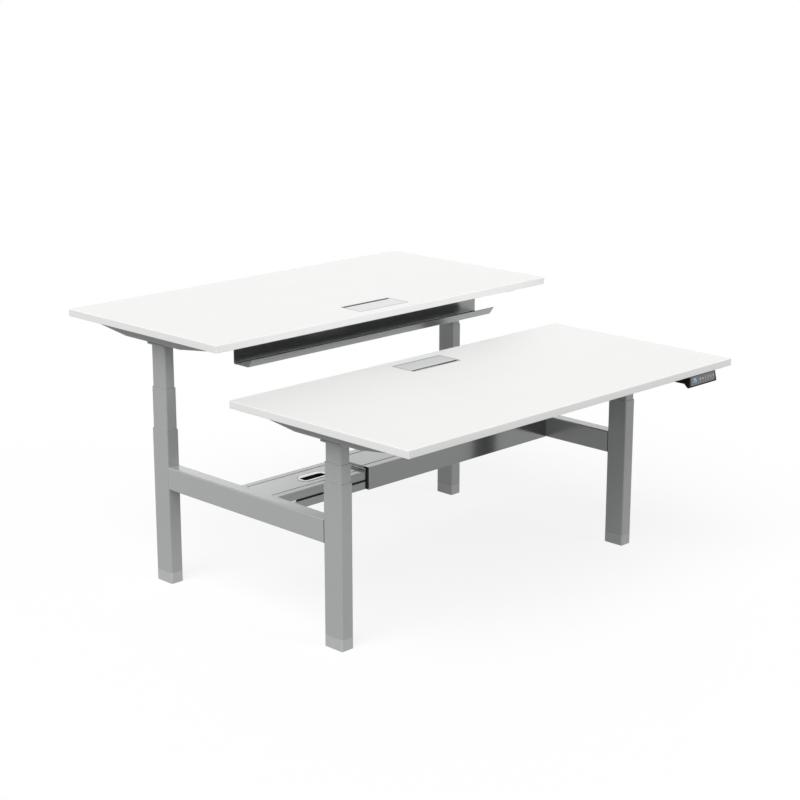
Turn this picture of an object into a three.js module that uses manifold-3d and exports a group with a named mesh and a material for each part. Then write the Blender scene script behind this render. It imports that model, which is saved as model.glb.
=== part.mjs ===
// Back-to-back sit-stand benching desk for two: two worktops, each on its own pair of lifting columns,
// over one shared frame with a cable trough.
// Millimetres, +Z up. The origin lies on the floor midway between the desks, +X runs along the bench,
// the front desk's user sits at -Y and the rear desk's user at +Y.
import * as THREE from 'three';
import { mergeVertices } from 'three/addons/utils/BufferGeometryUtils.js';
import Module from 'manifold-3d';

const wasm = await Module();
wasm.setup();

// Fits
const seam = 0.3; // joint line between pieces that are screwed or welded together
const glideGap = 0.7; // running gap between telescoping tubes
const runningGap = 0.15; // radial gap round a pin or a screw
const coverGap = 0.6; // gap round a cover or flap that lifts out
const cutMargin = 5; // how far a cutting shape stands past the face it cuts
const cornerSteps = 2; // fineness of the round corners

// Worktops
const deskLength = 1600;
const deskDepth = 800;
const topThickness = 25;
const topEdgeRadius = 1.5;
const topCornerRadius = 3;
const deskGap = 57;
const frontHeight = 750;
const rearHeight = 918;

// Travel of a worktop's surface
const lowestHeight = 640;
const highestHeight = 1290;

// Lifting columns: three nested tubes, the largest at the floor
const columnInset = 95;
const columnWidth = 50;
const columnDepth = 80;
const columnCorner = 5;
const tubeWall = 1.8;
const outerTubeTop = 549;
const stageOverlap = 160;
const footPlateThickness = 6;
const stagePlateThickness = 4;
const stagePlateHole = 12;

// Levelling feet
const bootHeight = 40;
const bootChamfer = 1.5;
const stemDiameter = 8;
const stemLength = 20;

// Drive inside each column
const spindleDiameter = 14;
const driveTubeWall = 5.5;
const screwEngagement = 115;

// Wings: tapered channels that carry the worktop on each column
const wingLength = 590;
const wingFlat = 290;
const wingHeight = 46;
const wingEndHeight = 27;
const wingOffset = 25;
const wingWall = 2.5;

// Drive units at the column heads
const headPlateThickness = 6;
const headPlateReach = 52; // from the column's axis towards the motor
const headPlateHeel = 37; // from the column's axis away from the motor
const gearWidth = 40;
const gearLength = 60;
const gearHeight = 36;
const motorDiameter = 34;
const motorLength = 95;

// Rails between the wings
const railDepth = 40;
const railHeight = 25;
const railWall = 1.8;
const railSpacing = 190;

// Cross beams between the front and the rear columns
const crossBeamTop = 422.5;
const crossBeamHeight = 80;
const crossBeamWall = 2;

// Cable trough along the bench: an inner profile that slides into a sleeve
const sleeveWidth = 190;
const sleeveHeight = 80;
const sleeveWall = 4;
const sleeveClearance = 1;
const sleeveStart = 432; // bare length of the inner profile at the left cross beam
const sleeveInsertion = 400;
const troughHeight = 63;
const troughWall = 8;
const troughFloor = 3;
const grooveHeight = 8;
const grooveDepth = 3.5;
const grooveRise = 26.5;
const lidWidth = 129;
const lidThickness = 3;
const lidGroove = 4; // open joint along each side of a lid
const lidTuck = 60; // how far the inner lid runs in under the sleeve
const ledgeBearing = 9;
const ledgeThickness = 5;
const lidSlotLength = 118;
const lidSlotWidth = 54;
const lidSlotSetback = 257;
const lidSlotShift = 5.5; // from the lid's middle line towards the front desk
const grommetRim = 5;
const grommetHeight = 1.2;
const grommetWall = 2;
const grommetSkirt = 1;
const bracketWidth = 100;
const bracketHeight = 40;
const bracketFoot = 45;
const bracketThickness = 4;

// Cable trays
const trayLength = 1182;
const trayHeight = 96;
const trayDepth = 73;
const trayLipReach = 21;
const trayLipRise = 28;
const trayFlange = 35;
const traySetback = 163.5; // from the worktop's inner edge to the tray's wall
const traySheet = 2;

// Cable ports
const portLength = 236;
const portDepth = 108;
const portSetback = 45;
const portCorner = 4;
const portRim = 3; // flange that overlaps the worktop
const portFlange = 3;
const portWall = 2.2;
const portLedge = 6;
const portSlot = 13;
const flapThickness = 4;
const flapPinDiameter = 2.4;
const flapPinLength = 3;

// Control boxes
const boxLength = 280;
const boxWidth = 110;
const boxHeight = 42;
const boxCorner = 8;
const socketBayLength = 200;
const socketBayHeight = 14;
const socketBayDepth = 9;

// Handsets
const frontHandsetInset = 162; // from the worktop's end to the middle of the handset
const rearHandsetInset = 200;
const handsetTopWidth = 146;
const handsetFootWidth = 160;
const handsetHeight = 40;
const handsetBodyHeight = 28;
const handsetLean = 3.5; // how far the face's foot stands out past its top
const handsetFaceSetback = 1.5;
const handsetNose = 24;
const handsetChin = 7;
const handsetWingGap = 8;
const panelWidth = 138;
const panelHeight = 31;
const panelThickness = 1;

// Places worked out from the sizes above
const halfLength = deskLength / 2;
const innerEdge = deskGap / 2;
const outerEdge = innerEdge + deskDepth;
const columnX = halfLength - columnInset;
const columnY = innerEdge + deskDepth / 2;
const stageStep = tubeWall + glideGap;
const strokePerStage = (highestHeight - lowestHeight) / 2;
const stageLength = strokePerStage + stageOverlap;
const screwLength = strokePerStage + screwEngagement;
const headDrop = wingHeight + seam + headPlateThickness;
const frameInside = columnX - columnWidth / 2;
const sleeveBottom = crossBeamTop - sleeveHeight;
const troughBottom = sleeveBottom + sleeveWall + seam;
const troughTop = troughBottom + troughHeight;
const troughWidth = sleeveWidth - 2 * (sleeveWall + sleeveClearance);
const sleeveLeft = sleeveStart - frameInside;
const handsetDepth = deskDepth / 2 - wingOffset - wingLength / 2 - handsetWingGap;

// Finishes
const paintedSteel = { color: 0x9c9f9e, roughness: 0.38, metalness: 0.55 };
const paintedTrim = { color: 0xa8abaa, roughness: 0.42, metalness: 0.5 };
const laminate = { color: 0xf3f3f1, roughness: 0.5, metalness: 0 };
const anodised = { color: 0xb4b6b6, roughness: 0.34, metalness: 0.75 };
const steelPart = { color: 0x8b8d8f, roughness: 0.3, metalness: 0.9 };
const greyPlastic = { color: 0xb9b9b6, roughness: 0.55, metalness: 0 };
const blackPlastic = { color: 0x1d1e20, roughness: 0.5, metalness: 0 };
const panelFilm = { color: 0x4a4c4f, roughness: 0.25, metalness: 0 };

// Turns a closed geometry into a solid that can be joined and cut
function solidOf(geometry) {
  const bare = geometry.clone();
  bare.deleteAttribute('normal');
  bare.deleteAttribute('uv');
  const merged = mergeVertices(bare, 1e-4);
  const vertProperties = new Float32Array(merged.attributes.position.array);
  const triVerts = new Uint32Array(merged.index.array);
  return new wasm.Manifold(new wasm.Mesh({ numProp: 3, vertProperties, triVerts }));
}

// Turns a solid back into a geometry
function geometryOf(solid) {
  const mesh = solid.getMesh();
  const geometry = new THREE.BufferGeometry();
  geometry.setAttribute('position', new THREE.BufferAttribute(new Float32Array(mesh.vertProperties), 3));
  geometry.setIndex(new THREE.BufferAttribute(new Uint32Array(mesh.triVerts), 1));
  geometry.computeVertexNormals();
  return geometry;
}

// First solid less every other
function cut(geometry, ...tools) {
  let solid = solidOf(geometry);
  for (const tool of tools) {
    solid = solid.subtract(solidOf(tool));
  }
  return geometryOf(solid);
}

// All the solids in one
function join(geometry, ...others) {
  let solid = solidOf(geometry);
  for (const other of others) {
    solid = solid.add(solidOf(other));
  }
  return geometryOf(solid);
}

// Only what two solids share
function common(geometry, other) {
  return geometryOf(solidOf(geometry).intersect(solidOf(other)));
}

// Box from its middle in X and Y and its lowest height
function block(width, depth, height, x = 0, y = 0, z = 0) {
  const geometry = new THREE.BoxGeometry(width, depth, height);
  geometry.translate(x, y, z + height / 2);
  return geometry;
}

// Outline of a rectangle with round corners
function roundedOutline(width, depth, radius, Outline = THREE.Shape) {
  const x = width / 2 - radius;
  const y = depth / 2 - radius;
  const outline = new Outline();
  outline.absarc(x, y, radius, 0, Math.PI / 2);
  outline.absarc(-x, y, radius, Math.PI / 2, Math.PI);
  outline.absarc(-x, -y, radius, Math.PI, 1.5 * Math.PI);
  outline.absarc(x, -y, radius, 1.5 * Math.PI, 2 * Math.PI);
  outline.closePath();
  return outline;
}

// Outline drawn straight up from a height
function drawnUp(shape, height, z) {
  const options = { depth: height, bevelEnabled: false, curveSegments: cornerSteps };
  const geometry = new THREE.ExtrudeGeometry(shape, options);
  geometry.translate(0, 0, z);
  return geometry;
}

// Upright plate with round corners
function roundedBlock(width, depth, radius, height, z = 0) {
  return drawnUp(roundedOutline(width, depth, radius), height, z);
}

// Upright plate with round corners and eased top and bottom edges
function easedBlock(width, depth, radius, height, ease, easeSteps, z = 0) {
  const shape = roundedOutline(width, depth, radius);
  const geometry = new THREE.ExtrudeGeometry(shape, {
    depth: height - 2 * ease,
    bevelEnabled: true,
    bevelThickness: ease,
    bevelSize: ease,
    bevelOffset: -ease,
    bevelSegments: easeSteps,
    curveSegments: cornerSteps,
  });
  geometry.translate(0, 0, z + ease);
  return geometry;
}

// Upright rectangular tube with round corners
function tube(width, depth, radius, wall, height, z = 0) {
  const shape = roundedOutline(width, depth, radius);
  const boreRadius = Math.max(radius - wall, 0.5);
  shape.holes.push(roundedOutline(width - 2 * wall, depth - 2 * wall, boreRadius, THREE.Path));
  return drawnUp(shape, height, z);
}

// Section in (y, z) drawn out along X, about the middle
function alongX(points, length) {
  const shape = new THREE.Shape(points.map(([y, z]) => new THREE.Vector2(y, z)));
  const geometry = new THREE.ExtrudeGeometry(shape, { depth: length, bevelEnabled: false });
  geometry.translate(0, 0, -length / 2);
  const yAxis = new THREE.Vector3(0, 1, 0);
  const zAxis = new THREE.Vector3(0, 0, 1);
  const xAxis = new THREE.Vector3(1, 0, 0);
  geometry.applyMatrix4(new THREE.Matrix4().makeBasis(yAxis, zAxis, xAxis));
  return geometry;
}

// Section in (x, z) drawn out along Y, from the first to the second place
function alongY(points, from, to) {
  const shape = new THREE.Shape(points.map(([x, z]) => new THREE.Vector2(z, x)));
  const geometry = new THREE.ExtrudeGeometry(shape, { depth: to - from, bevelEnabled: false });
  geometry.translate(0, 0, from);
  const yAxis = new THREE.Vector3(0, 1, 0);
  const zAxis = new THREE.Vector3(0, 0, 1);
  const xAxis = new THREE.Vector3(1, 0, 0);
  geometry.applyMatrix4(new THREE.Matrix4().makeBasis(zAxis, xAxis, yAxis));
  return geometry;
}

// Upright round bar
function bar(diameter, height, z = 0) {
  const geometry = new THREE.CylinderGeometry(diameter / 2, diameter / 2, height, 16);
  geometry.rotateX(Math.PI / 2);
  geometry.translate(0, 0, z + height / 2);
  return geometry;
}

// Lying round bar along X, centred on a point
function pin(diameter, length, x, y, z) {
  const geometry = new THREE.CylinderGeometry(diameter / 2, diameter / 2, length, 12);
  geometry.rotateZ(Math.PI / 2);
  geometry.translate(x, y, z);
  return geometry;
}

// Slot of a lid, with round ends along X and off the middle line
function slotBlock(length, width, height, x, z) {
  const geometry = roundedBlock(length, width, width / 2 - 0.01, height, z);
  geometry.translate(x, -lidSlotShift, 0);
  return geometry;
}

function piece(name, geometry, finish) {
  const mesh = new THREE.Mesh(geometry, new THREE.MeshStandardMaterial(finish));
  mesh.name = name;
  return mesh;
}

// Lifting column: heights above the floor, axis at the group's origin, motor towards +Y
function lowerColumn(name, exposure) {
  const column = new THREE.Group();
  const tubeBottom = bootHeight + seam;
  const boot = join(
    easedBlock(columnWidth, columnDepth, columnCorner, bootHeight, bootChamfer, 1),
    bar(stemDiameter, stemLength + bootHeight / 2, bootHeight / 2),
  );
  column.add(piece(`${name}_foot_boot`, boot, greyPlastic));

  const footPlate = roundedBlock(columnWidth, columnDepth, columnCorner, footPlateThickness, tubeBottom);
  const tubeLength = outerTubeTop - tubeBottom;
  const outerTube = tube(columnWidth, columnDepth, columnCorner, tubeWall, tubeLength, tubeBottom);
  const stemBore = stemDiameter + 2 * runningGap;
  const stemHole = bar(stemBore, footPlateThickness + 2 * cutMargin, tubeBottom - cutMargin);
  column.add(piece(`${name}_outer_tube`, cut(join(outerTube, footPlate), stemHole), paintedSteel));

  const midWidth = columnWidth - 2 * stageStep;
  const midDepth = columnDepth - 2 * stageStep;
  const midBottom = outerTubeTop + exposure - stageLength;
  const midPlate = roundedBlock(midWidth, midDepth, columnCorner, stagePlateThickness, midBottom);
  const midTube = tube(midWidth, midDepth, columnCorner, tubeWall, stageLength, midBottom);
  const plateHole = bar(stagePlateHole, stagePlateThickness + 2 * cutMargin, midBottom - cutMargin);
  column.add(piece(`${name}_mid_tube`, cut(join(midTube, midPlate), plateHole), paintedSteel));

  const driveBore = spindleDiameter + 2 * runningGap;
  const driveOuter = spindleDiameter + 2 * driveTubeWall;
  const driveBottom = midBottom + stagePlateThickness + seam;
  const driveBoreCut = bar(driveBore, screwLength + 2 * cutMargin, driveBottom - cutMargin);
  const driveTube = cut(bar(driveOuter, screwLength, driveBottom), driveBoreCut);
  column.add(piece(`${name}_drive_tube`, driveTube, steelPart));
  return column;
}

// Column head: heights from the worktop's underside, axis at the group's origin, motor towards +Y
function columnHead(name) {
  const head = new THREE.Group();
  const half = wingLength / 2;
  const flat = wingFlat / 2;
  const wingSide = (inset) => [
    [wingOffset - half + inset, inset ? cutMargin : -seam],
    [wingOffset - half + inset, inset - wingEndHeight],
    [wingOffset - flat, inset - wingHeight],
    [wingOffset + flat, inset - wingHeight],
    [wingOffset + half - inset, inset - wingEndHeight],
    [wingOffset + half - inset, inset ? cutMargin : -seam],
  ];
  const holeBottom = -wingHeight - cutMargin;
  const gearHole = block(gearWidth + 2 * seam, gearLength + 2 * seam, 2 * cutMargin, 0, 0, holeBottom);
  const wingInside = alongX(wingSide(wingWall), columnWidth - 2 * wingWall);
  const wing = cut(alongX(wingSide(0), columnWidth), wingInside, gearHole);
  head.add(piece(`${name}_wing`, wing, paintedSteel));

  const plateLength = headPlateReach + headPlateHeel;
  const plateMiddle = (headPlateReach - headPlateHeel) / 2;
  const plate = block(columnWidth, plateLength, headPlateThickness, 0, plateMiddle, -headDrop);
  const gear = block(gearWidth, gearLength, gearHeight + seam, 0, 0, -wingHeight - seam);
  const motor = bar(motorDiameter, motorLength);
  motor.rotateX(-Math.PI / 2);
  motor.translate(0, gearLength / 2 - cutMargin, wingWall + seam + motorDiameter / 2 - wingHeight);
  head.add(piece(`${name}_drive_unit`, join(plate, gear, motor), paintedTrim));

  const innerWidth = columnWidth - 4 * stageStep;
  const innerDepth = columnDepth - 4 * stageStep;
  const innerTop = -headDrop - seam;
  const innerBottom = innerTop - stageLength;
  const innerTube = tube(innerWidth, innerDepth, columnCorner, tubeWall, stageLength, innerBottom);
  head.add(piece(`${name}_inner_tube`, innerTube, paintedSteel));
  head.add(piece(`${name}_spindle`, bar(spindleDiameter, screwLength, innerTop - screwLength), steelPart));
  return head;
}

// Worktop with the rebate and the hole for its cable port, heights from its surface
function worktopGeometry(portY) {
  const bottom = -topThickness;
  const board = easedBlock(deskLength, deskDepth, topCornerRadius, topThickness, topEdgeRadius, 2, bottom);
  board.translate(0, -columnY, 0);
  const rebateLength = portLength + 2 * coverGap;
  const rebateDepth = portDepth + 2 * coverGap;
  const rebateFloor = -portFlange - seam;
  const rebate = roundedBlock(rebateLength, rebateDepth, portCorner, cutMargin - rebateFloor, rebateFloor);
  rebate.translate(0, portY, 0);
  const holeLength = portLength - 2 * portRim;
  const holeDepth = portDepth - 2 * portRim;
  const hole = block(holeLength, holeDepth, topThickness + 2 * cutMargin, 0, portY, bottom - cutMargin);
  return cut(board, rebate, hole);
}

// Cable port: frame let into the worktop and a hinged flap, heights from the worktop's surface
function cablePort(name) {
  const port = new THREE.Group();
  const skirtLength = portLength - 2 * (portRim + seam);
  const skirtDepth = portDepth - 2 * (portRim + seam);
  const pocketLength = skirtLength - 2 * portWall;
  const pocketDepth = skirtDepth - 2 * portWall;
  const pocketFloor = flapThickness + seam;
  const flange = roundedBlock(portLength, portDepth, portCorner, portFlange, -portFlange);
  const skirt = block(skirtLength, skirtDepth, topThickness, 0, 0, -topThickness);
  const pocket = block(pocketLength, pocketDepth, pocketFloor + cutMargin, 0, 0, -pocketFloor);
  const wellLength = pocketLength - 2 * portLedge;
  const wellDepth = pocketDepth - portLedge;
  const wellHeight = topThickness + 2 * cutMargin;
  const well = block(wellLength, wellDepth, wellHeight, 0, -portLedge / 2, -topThickness - cutMargin);
  const flapRadius = flapThickness / 2;
  const hingeY = pocketDepth / 2 - coverGap - flapRadius;
  const flapLength = pocketLength - 2 * coverGap;
  const flapEdge = -pocketDepth / 2 + portSlot;
  const holeDiameter = flapPinDiameter + 2 * runningGap;
  const holeLength = flapPinLength + 2 * coverGap;
  const pinHoles = [-1, 1].map((side) => pin(
    holeDiameter, holeLength, side * pocketLength / 2, hingeY, -flapRadius,
  ));
  port.add(piece(`${name}_port_frame`, cut(join(flange, skirt), pocket, well, ...pinHoles), anodised));

  const section = [[flapEdge, 0], [flapEdge, -flapThickness]];
  const hingeSteps = 6;
  for (let step = 0; step <= hingeSteps; step += 1) {
    const angle = -Math.PI / 2 + Math.PI * step / hingeSteps;
    section.push([hingeY + flapRadius * Math.cos(angle), flapRadius * (Math.sin(angle) - 1)]);
  }
  const pins = [-1, 1].map((side) => pin(
    flapPinDiameter, flapPinLength, side * flapLength / 2, hingeY, -flapRadius,
  ));
  port.add(piece(`${name}_port_flap`, join(alongX(section, flapLength), ...pins), anodised));
  return port;
}

// Folded tray that hangs from the underside, heights from the underside
function trayGeometry() {
  const wall = -innerEdge - traySetback;
  const corner = wall + trayDepth;
  const tip = corner + trayLipReach;
  const lipLength = Math.hypot(trayLipReach, trayLipRise);
  const sheetY = traySheet * trayLipRise / lipLength;
  const sheetZ = traySheet * trayLipReach / lipLength;
  const bendY = traySheet * (lipLength - trayLipReach) / trayLipRise;
  return alongX([
    [wall - trayFlange, -seam],
    [wall - trayFlange, -seam - traySheet],
    [wall, -seam - traySheet],
    [wall, -trayHeight],
    [corner, -trayHeight],
    [tip, trayLipRise - trayHeight],
    [tip - sheetY, trayLipRise - trayHeight + sheetZ],
    [corner - bendY, traySheet - trayHeight],
    [wall + traySheet, traySheet - trayHeight],
    [wall + traySheet, -seam],
  ], trayLength);
}

// Control box with a bay of plug sockets along its inner side, heights from the underside
function controlBoxGeometry() {
  const box = roundedBlock(boxLength, boxWidth, boxCorner, boxHeight, -seam - boxHeight);
  const bayBottom = -seam - (boxHeight + socketBayHeight) / 2;
  const bay = block(socketBayLength, 2 * socketBayDepth, socketBayHeight, 0, boxWidth / 2, bayBottom);
  return cut(box, bay);
}

// Handset under the user's edge, heights from the underside, face towards -Y
function handset(name) {
  const unit = new THREE.Group();
  const faceTop = handsetFaceSetback + handsetLean;
  const faceFoot = handsetHeight - handsetLean;
  const side = [
    [faceTop, -seam],
    [handsetFaceSetback, -faceFoot],
    [handsetFaceSetback + handsetLean / 2, -handsetHeight],
    [handsetFaceSetback + handsetChin, -handsetHeight],
    [handsetNose, -handsetBodyHeight],
    [handsetDepth, -handsetBodyHeight],
    [handsetDepth, -seam],
  ];
  const front = [
    [-handsetTopWidth / 2, -seam],
    [-handsetFootWidth / 2, -handsetHeight],
    [handsetFootWidth / 2, -handsetHeight],
    [handsetTopWidth / 2, -seam],
  ];
  const body = common(alongX(side, handsetFootWidth), alongY(front, -cutMargin, handsetDepth + cutMargin));
  const tilt = -Math.atan2(handsetLean, faceFoot - seam);
  const faceY = handsetFaceSetback + handsetLean / 2;
  const faceZ = -(faceFoot + seam) / 2;
  const onFace = (geometry) => geometry.rotateX(tilt).translate(0, faceY, faceZ);
  const sunk = 2 * (panelThickness + seam);
  const pocketFoot = -panelHeight / 2 - seam;
  const pocket = onFace(block(panelWidth + 2 * seam, sunk, panelHeight + 2 * seam, 0, 0, pocketFoot));
  unit.add(piece(`${name}_handset_body`, cut(body, pocket), blackPlastic));
  const panelFoot = -panelHeight / 2;
  const panel = onFace(block(panelWidth, panelThickness, panelHeight, 0, panelThickness / 2, panelFoot));
  unit.add(piece(`${name}_handset_panel`, panel, panelFilm));
  return unit;
}

// One desk seen from its own user: everything from the floor to the worktop
function desk(name, height, handsetInset) {
  const station = new THREE.Group();
  const underside = height - topThickness;
  const exposure = (underside - headDrop - outerTubeTop) / 2;
  const sides = [
    { word: 'left', x: -columnX, turn: 0 },
    { word: 'right', x: columnX, turn: Math.PI },
  ];
  for (const side of sides) {
    const sideName = `${name}_${side.word}`;
    const column = lowerColumn(sideName, exposure);
    column.position.set(side.x, -columnY, 0);
    column.rotation.z = side.turn;
    const head = columnHead(sideName);
    head.position.set(side.x, -columnY, underside);
    head.rotation.z = side.turn;
    station.add(column, head);
  }

  const portY = -innerEdge - portSetback - portDepth / 2;
  const worktop = piece(`${name}_worktop`, worktopGeometry(portY), laminate);
  worktop.position.z = height;
  const port = cablePort(name);
  port.position.set(0, portY, height);

  const railLength = 2 * (frameInside - seam);
  const rails = [['inner_rail', 1], ['user_rail', -1]].map(([word, way]) => {
    const rail = tube(railHeight, railDepth, columnCorner / 2, railWall, railLength, -railLength / 2);
    rail.rotateY(Math.PI / 2);
    const mesh = piece(`${name}_${word}`, rail, paintedSteel);
    mesh.position.set(0, way * railSpacing / 2 - columnY, underside - seam - railHeight / 2);
    return mesh;
  });

  const tray = piece(`${name}_cable_tray`, trayGeometry(), paintedSteel);
  tray.position.z = underside;
  const controlBox = piece(`${name}_control_box`, controlBoxGeometry(), blackPlastic);
  controlBox.position.set(0, -columnY, underside);
  const controls = handset(name);
  controls.position.set(halfLength - handsetInset, -outerEdge, underside);
  station.add(worktop, port, ...rails, tray, controlBox, controls);
  return station;
}

// Channel section with ledges for a lid; the groove runs along the outside of each wall
function channelSection(width, bottom, top, wall, floor, groove) {
  const half = width / 2;
  const lidHalf = lidWidth / 2;
  const ledgeTop = top - lidThickness - seam;
  const grooveBottom = bottom + grooveRise;
  const rightSide = [[half, bottom]];
  if (groove > 0) {
    rightSide.push(
      [half, grooveBottom],
      [half - groove, grooveBottom],
      [half - groove, grooveBottom + grooveHeight],
      [half, grooveBottom + grooveHeight],
    );
  }
  rightSide.push(
    [half, top],
    [lidHalf, top],
    [lidHalf, ledgeTop],
    [lidHalf - ledgeBearing, ledgeTop],
    [lidHalf - ledgeBearing, ledgeTop - ledgeThickness],
    [half - wall, ledgeTop - ledgeThickness],
    [half - wall, bottom + floor],
  );
  const leftSide = rightSide.map(([y, z]) => [-y, z]).reverse();
  return [...rightSide, ...leftSide];
}

// Lid with a cable slot, its top at a given height
function lidGeometry(from, to, top, slotX) {
  const width = lidWidth - 2 * lidGroove;
  const plate = block(to - from, width, lidThickness, (from + to) / 2, 0, top - lidThickness);
  const slotCut = lidThickness + 2 * cutMargin;
  const slot = slotBlock(lidSlotLength, lidSlotWidth, slotCut, slotX, top - lidThickness - cutMargin);
  return cut(plate, slot);
}

// Ring that lines a lid's slot
function grommetGeometry(top, slotX) {
  const rimLength = lidSlotLength + 2 * grommetRim;
  const rimWidth = lidSlotWidth + 2 * grommetRim;
  const rim = slotBlock(rimLength, rimWidth, grommetHeight, slotX, top + seam);
  const skirtLength = lidSlotLength - 2 * seam;
  const skirtWidth = lidSlotWidth - 2 * seam;
  const skirtBottom = top - lidThickness - grommetSkirt;
  const ringTop = top + seam + grommetHeight;
  const skirt = slotBlock(skirtLength, skirtWidth, ringTop - skirtBottom, slotX, skirtBottom);
  const boreLength = skirtLength - 2 * grommetWall;
  const boreWidth = skirtWidth - 2 * grommetWall;
  const boreCut = ringTop - skirtBottom + 2 * cutMargin;
  const bore = slotBlock(boreLength, boreWidth, boreCut, slotX, skirtBottom - cutMargin);
  return cut(join(rim, skirt), bore);
}

// Angle that bolts a channel's floor to a cross beam; side is -1 at the left, 1 at the right
function bracketGeometry(side, floorTop) {
  const face = side * (frameInside - seam);
  const bottom = floorTop + seam;
  const uprightX = face - side * bracketThickness / 2;
  const footX = face - side * bracketFoot / 2;
  const upright = block(bracketThickness, bracketWidth, bracketHeight, uprightX, 0, bottom);
  const foot = block(bracketFoot, bracketWidth, bracketThickness, footX, 0, bottom);
  return join(upright, foot);
}

// Shared frame: cross beams and the cable trough between them
function sharedFrame() {
  const frame = new THREE.Group();
  const beamLength = 2 * (columnY - columnDepth / 2 - seam);
  for (const [word, side] of [['left', -1], ['right', 1]]) {
    const beamStart = -beamLength / 2;
    const beam = tube(columnWidth, crossBeamHeight, columnCorner, crossBeamWall, beamLength, beamStart);
    beam.rotateX(Math.PI / 2);
    const mesh = piece(`${word}_cross_beam`, beam, paintedSteel);
    mesh.position.set(side * columnX, 0, crossBeamTop - crossBeamHeight / 2);
    frame.add(mesh);
  }

  const left = seam - frameInside;
  const right = frameInside - seam;
  const troughRight = sleeveLeft + sleeveInsertion;
  const troughSection = channelSection(
    troughWidth, troughBottom, troughTop, troughWall, troughFloor, grooveDepth,
  );
  const trough = alongX(troughSection, troughRight - left);
  trough.translate((left + troughRight) / 2, 0, 0);
  frame.add(piece('trough_profile', trough, anodised));

  const sleeveSection = channelSection(sleeveWidth, sleeveBottom, crossBeamTop, sleeveWall, sleeveWall, 0);
  const sleeve = alongX(sleeveSection, right - sleeveLeft);
  sleeve.translate((sleeveLeft + right) / 2, 0, 0);
  frame.add(piece('trough_sleeve', sleeve, paintedSteel));

  const slotX = frameInside - lidSlotSetback;
  frame.add(piece('trough_lid', lidGeometry(left, sleeveLeft + lidTuck, troughTop, -slotX), anodised));
  frame.add(piece('sleeve_lid', lidGeometry(sleeveLeft, right, crossBeamTop, slotX), paintedSteel));
  frame.add(piece('trough_grommet', grommetGeometry(troughTop, -slotX), greyPlastic));
  frame.add(piece('sleeve_grommet', grommetGeometry(crossBeamTop, slotX), greyPlastic));
  frame.add(piece('left_trough_bracket', bracketGeometry(-1, troughBottom + troughFloor), steelPart));
  frame.add(piece('right_trough_bracket', bracketGeometry(1, sleeveBottom + sleeveWall), steelPart));
  return frame;
}

const bench = new THREE.Group();
const frontDesk = desk('front', frontHeight, frontHandsetInset);
const rearDesk = desk('rear', rearHeight, rearHandsetInset);
rearDesk.rotation.z = Math.PI;
bench.add(sharedFrame(), frontDesk, rearDesk);

export default bench;
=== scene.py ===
# Benching desk for two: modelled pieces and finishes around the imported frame, in metres.
import math

import bmesh
import bpy
from mathutils import Matrix, Vector


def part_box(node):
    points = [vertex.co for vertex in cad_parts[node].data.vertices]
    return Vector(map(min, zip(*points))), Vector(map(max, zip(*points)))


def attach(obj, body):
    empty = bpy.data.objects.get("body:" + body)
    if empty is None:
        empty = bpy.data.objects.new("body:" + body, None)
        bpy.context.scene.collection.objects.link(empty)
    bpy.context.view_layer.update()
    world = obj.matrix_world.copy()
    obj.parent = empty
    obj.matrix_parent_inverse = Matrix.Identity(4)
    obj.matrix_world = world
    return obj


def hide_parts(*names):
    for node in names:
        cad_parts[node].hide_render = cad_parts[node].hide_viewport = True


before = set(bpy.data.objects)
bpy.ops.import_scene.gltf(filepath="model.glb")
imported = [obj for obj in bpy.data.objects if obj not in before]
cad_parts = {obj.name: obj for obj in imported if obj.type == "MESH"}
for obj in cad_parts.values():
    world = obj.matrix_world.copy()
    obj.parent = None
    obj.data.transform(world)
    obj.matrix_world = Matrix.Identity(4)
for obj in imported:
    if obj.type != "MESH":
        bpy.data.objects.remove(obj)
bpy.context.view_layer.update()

mm = 0.001
seam = 0.3 * mm  # joint line between pieces that are screwed together
desks = ("front", "rear")
sides = ("left", "right")
columns = [f"{desk}_{side}" for desk in desks for side in sides]
print("frame loaded with", len(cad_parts), "nodes")

# Camera at the photograph's viewing angle
cameraView = {
    "azimuth": -45.15,
    "elevation": 14.93,
    "distance": 6.5418,
    "aim": (0.1012, 0.1022, 0.557),
    "lens": 82.03,
}


def makeCamera():
    turn = math.radians(cameraView["azimuth"])
    rise = math.radians(cameraView["elevation"])
    back = Vector((math.sin(turn) * math.cos(rise), -math.cos(turn) * math.cos(rise), math.sin(rise)))
    lens = bpy.data.cameras.new("photoCamera")
    lens.lens = cameraView["lens"]
    lens.clip_end = 300
    camera = bpy.data.objects.new("photoCamera", lens)
    camera.location = Vector(cameraView["aim"]) + back * cameraView["distance"]
    camera.rotation_euler = back.to_track_quat("Z", "Y").to_euler()
    bpy.context.scene.collection.objects.link(camera)
    bpy.context.scene.camera = camera


makeCamera()
print("camera placed")

# Studio: pale floor that shows only a faint shadow, white surroundings, a wide soft key and two weak fills
studio = {
    "floorHalf": 80,
    "floorDrop": 0.5 * mm,
    "floorColour": (0.98, 0.98, 0.98, 1),
    "floorBounce": (0.25, 0.25, 0.25, 1),
    "shadowShare": 0.15,
    "shadowReach": (1.6, 3.2),
    "skyColour": (1, 1, 1, 1),
    "skyStrength": 0.22,
}
lamps = {
    "keyLamp": {"place": (-6.1, -2.3, 7.7), "spread": math.radians(50), "power": 2.8},
    "frontLamp": {"place": (3, -8, 2.2), "spread": math.radians(30), "power": 0.72},
    "backLamp": {"place": (5, 6, 6.2), "spread": math.radians(60), "power": 0.25},
}


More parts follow.
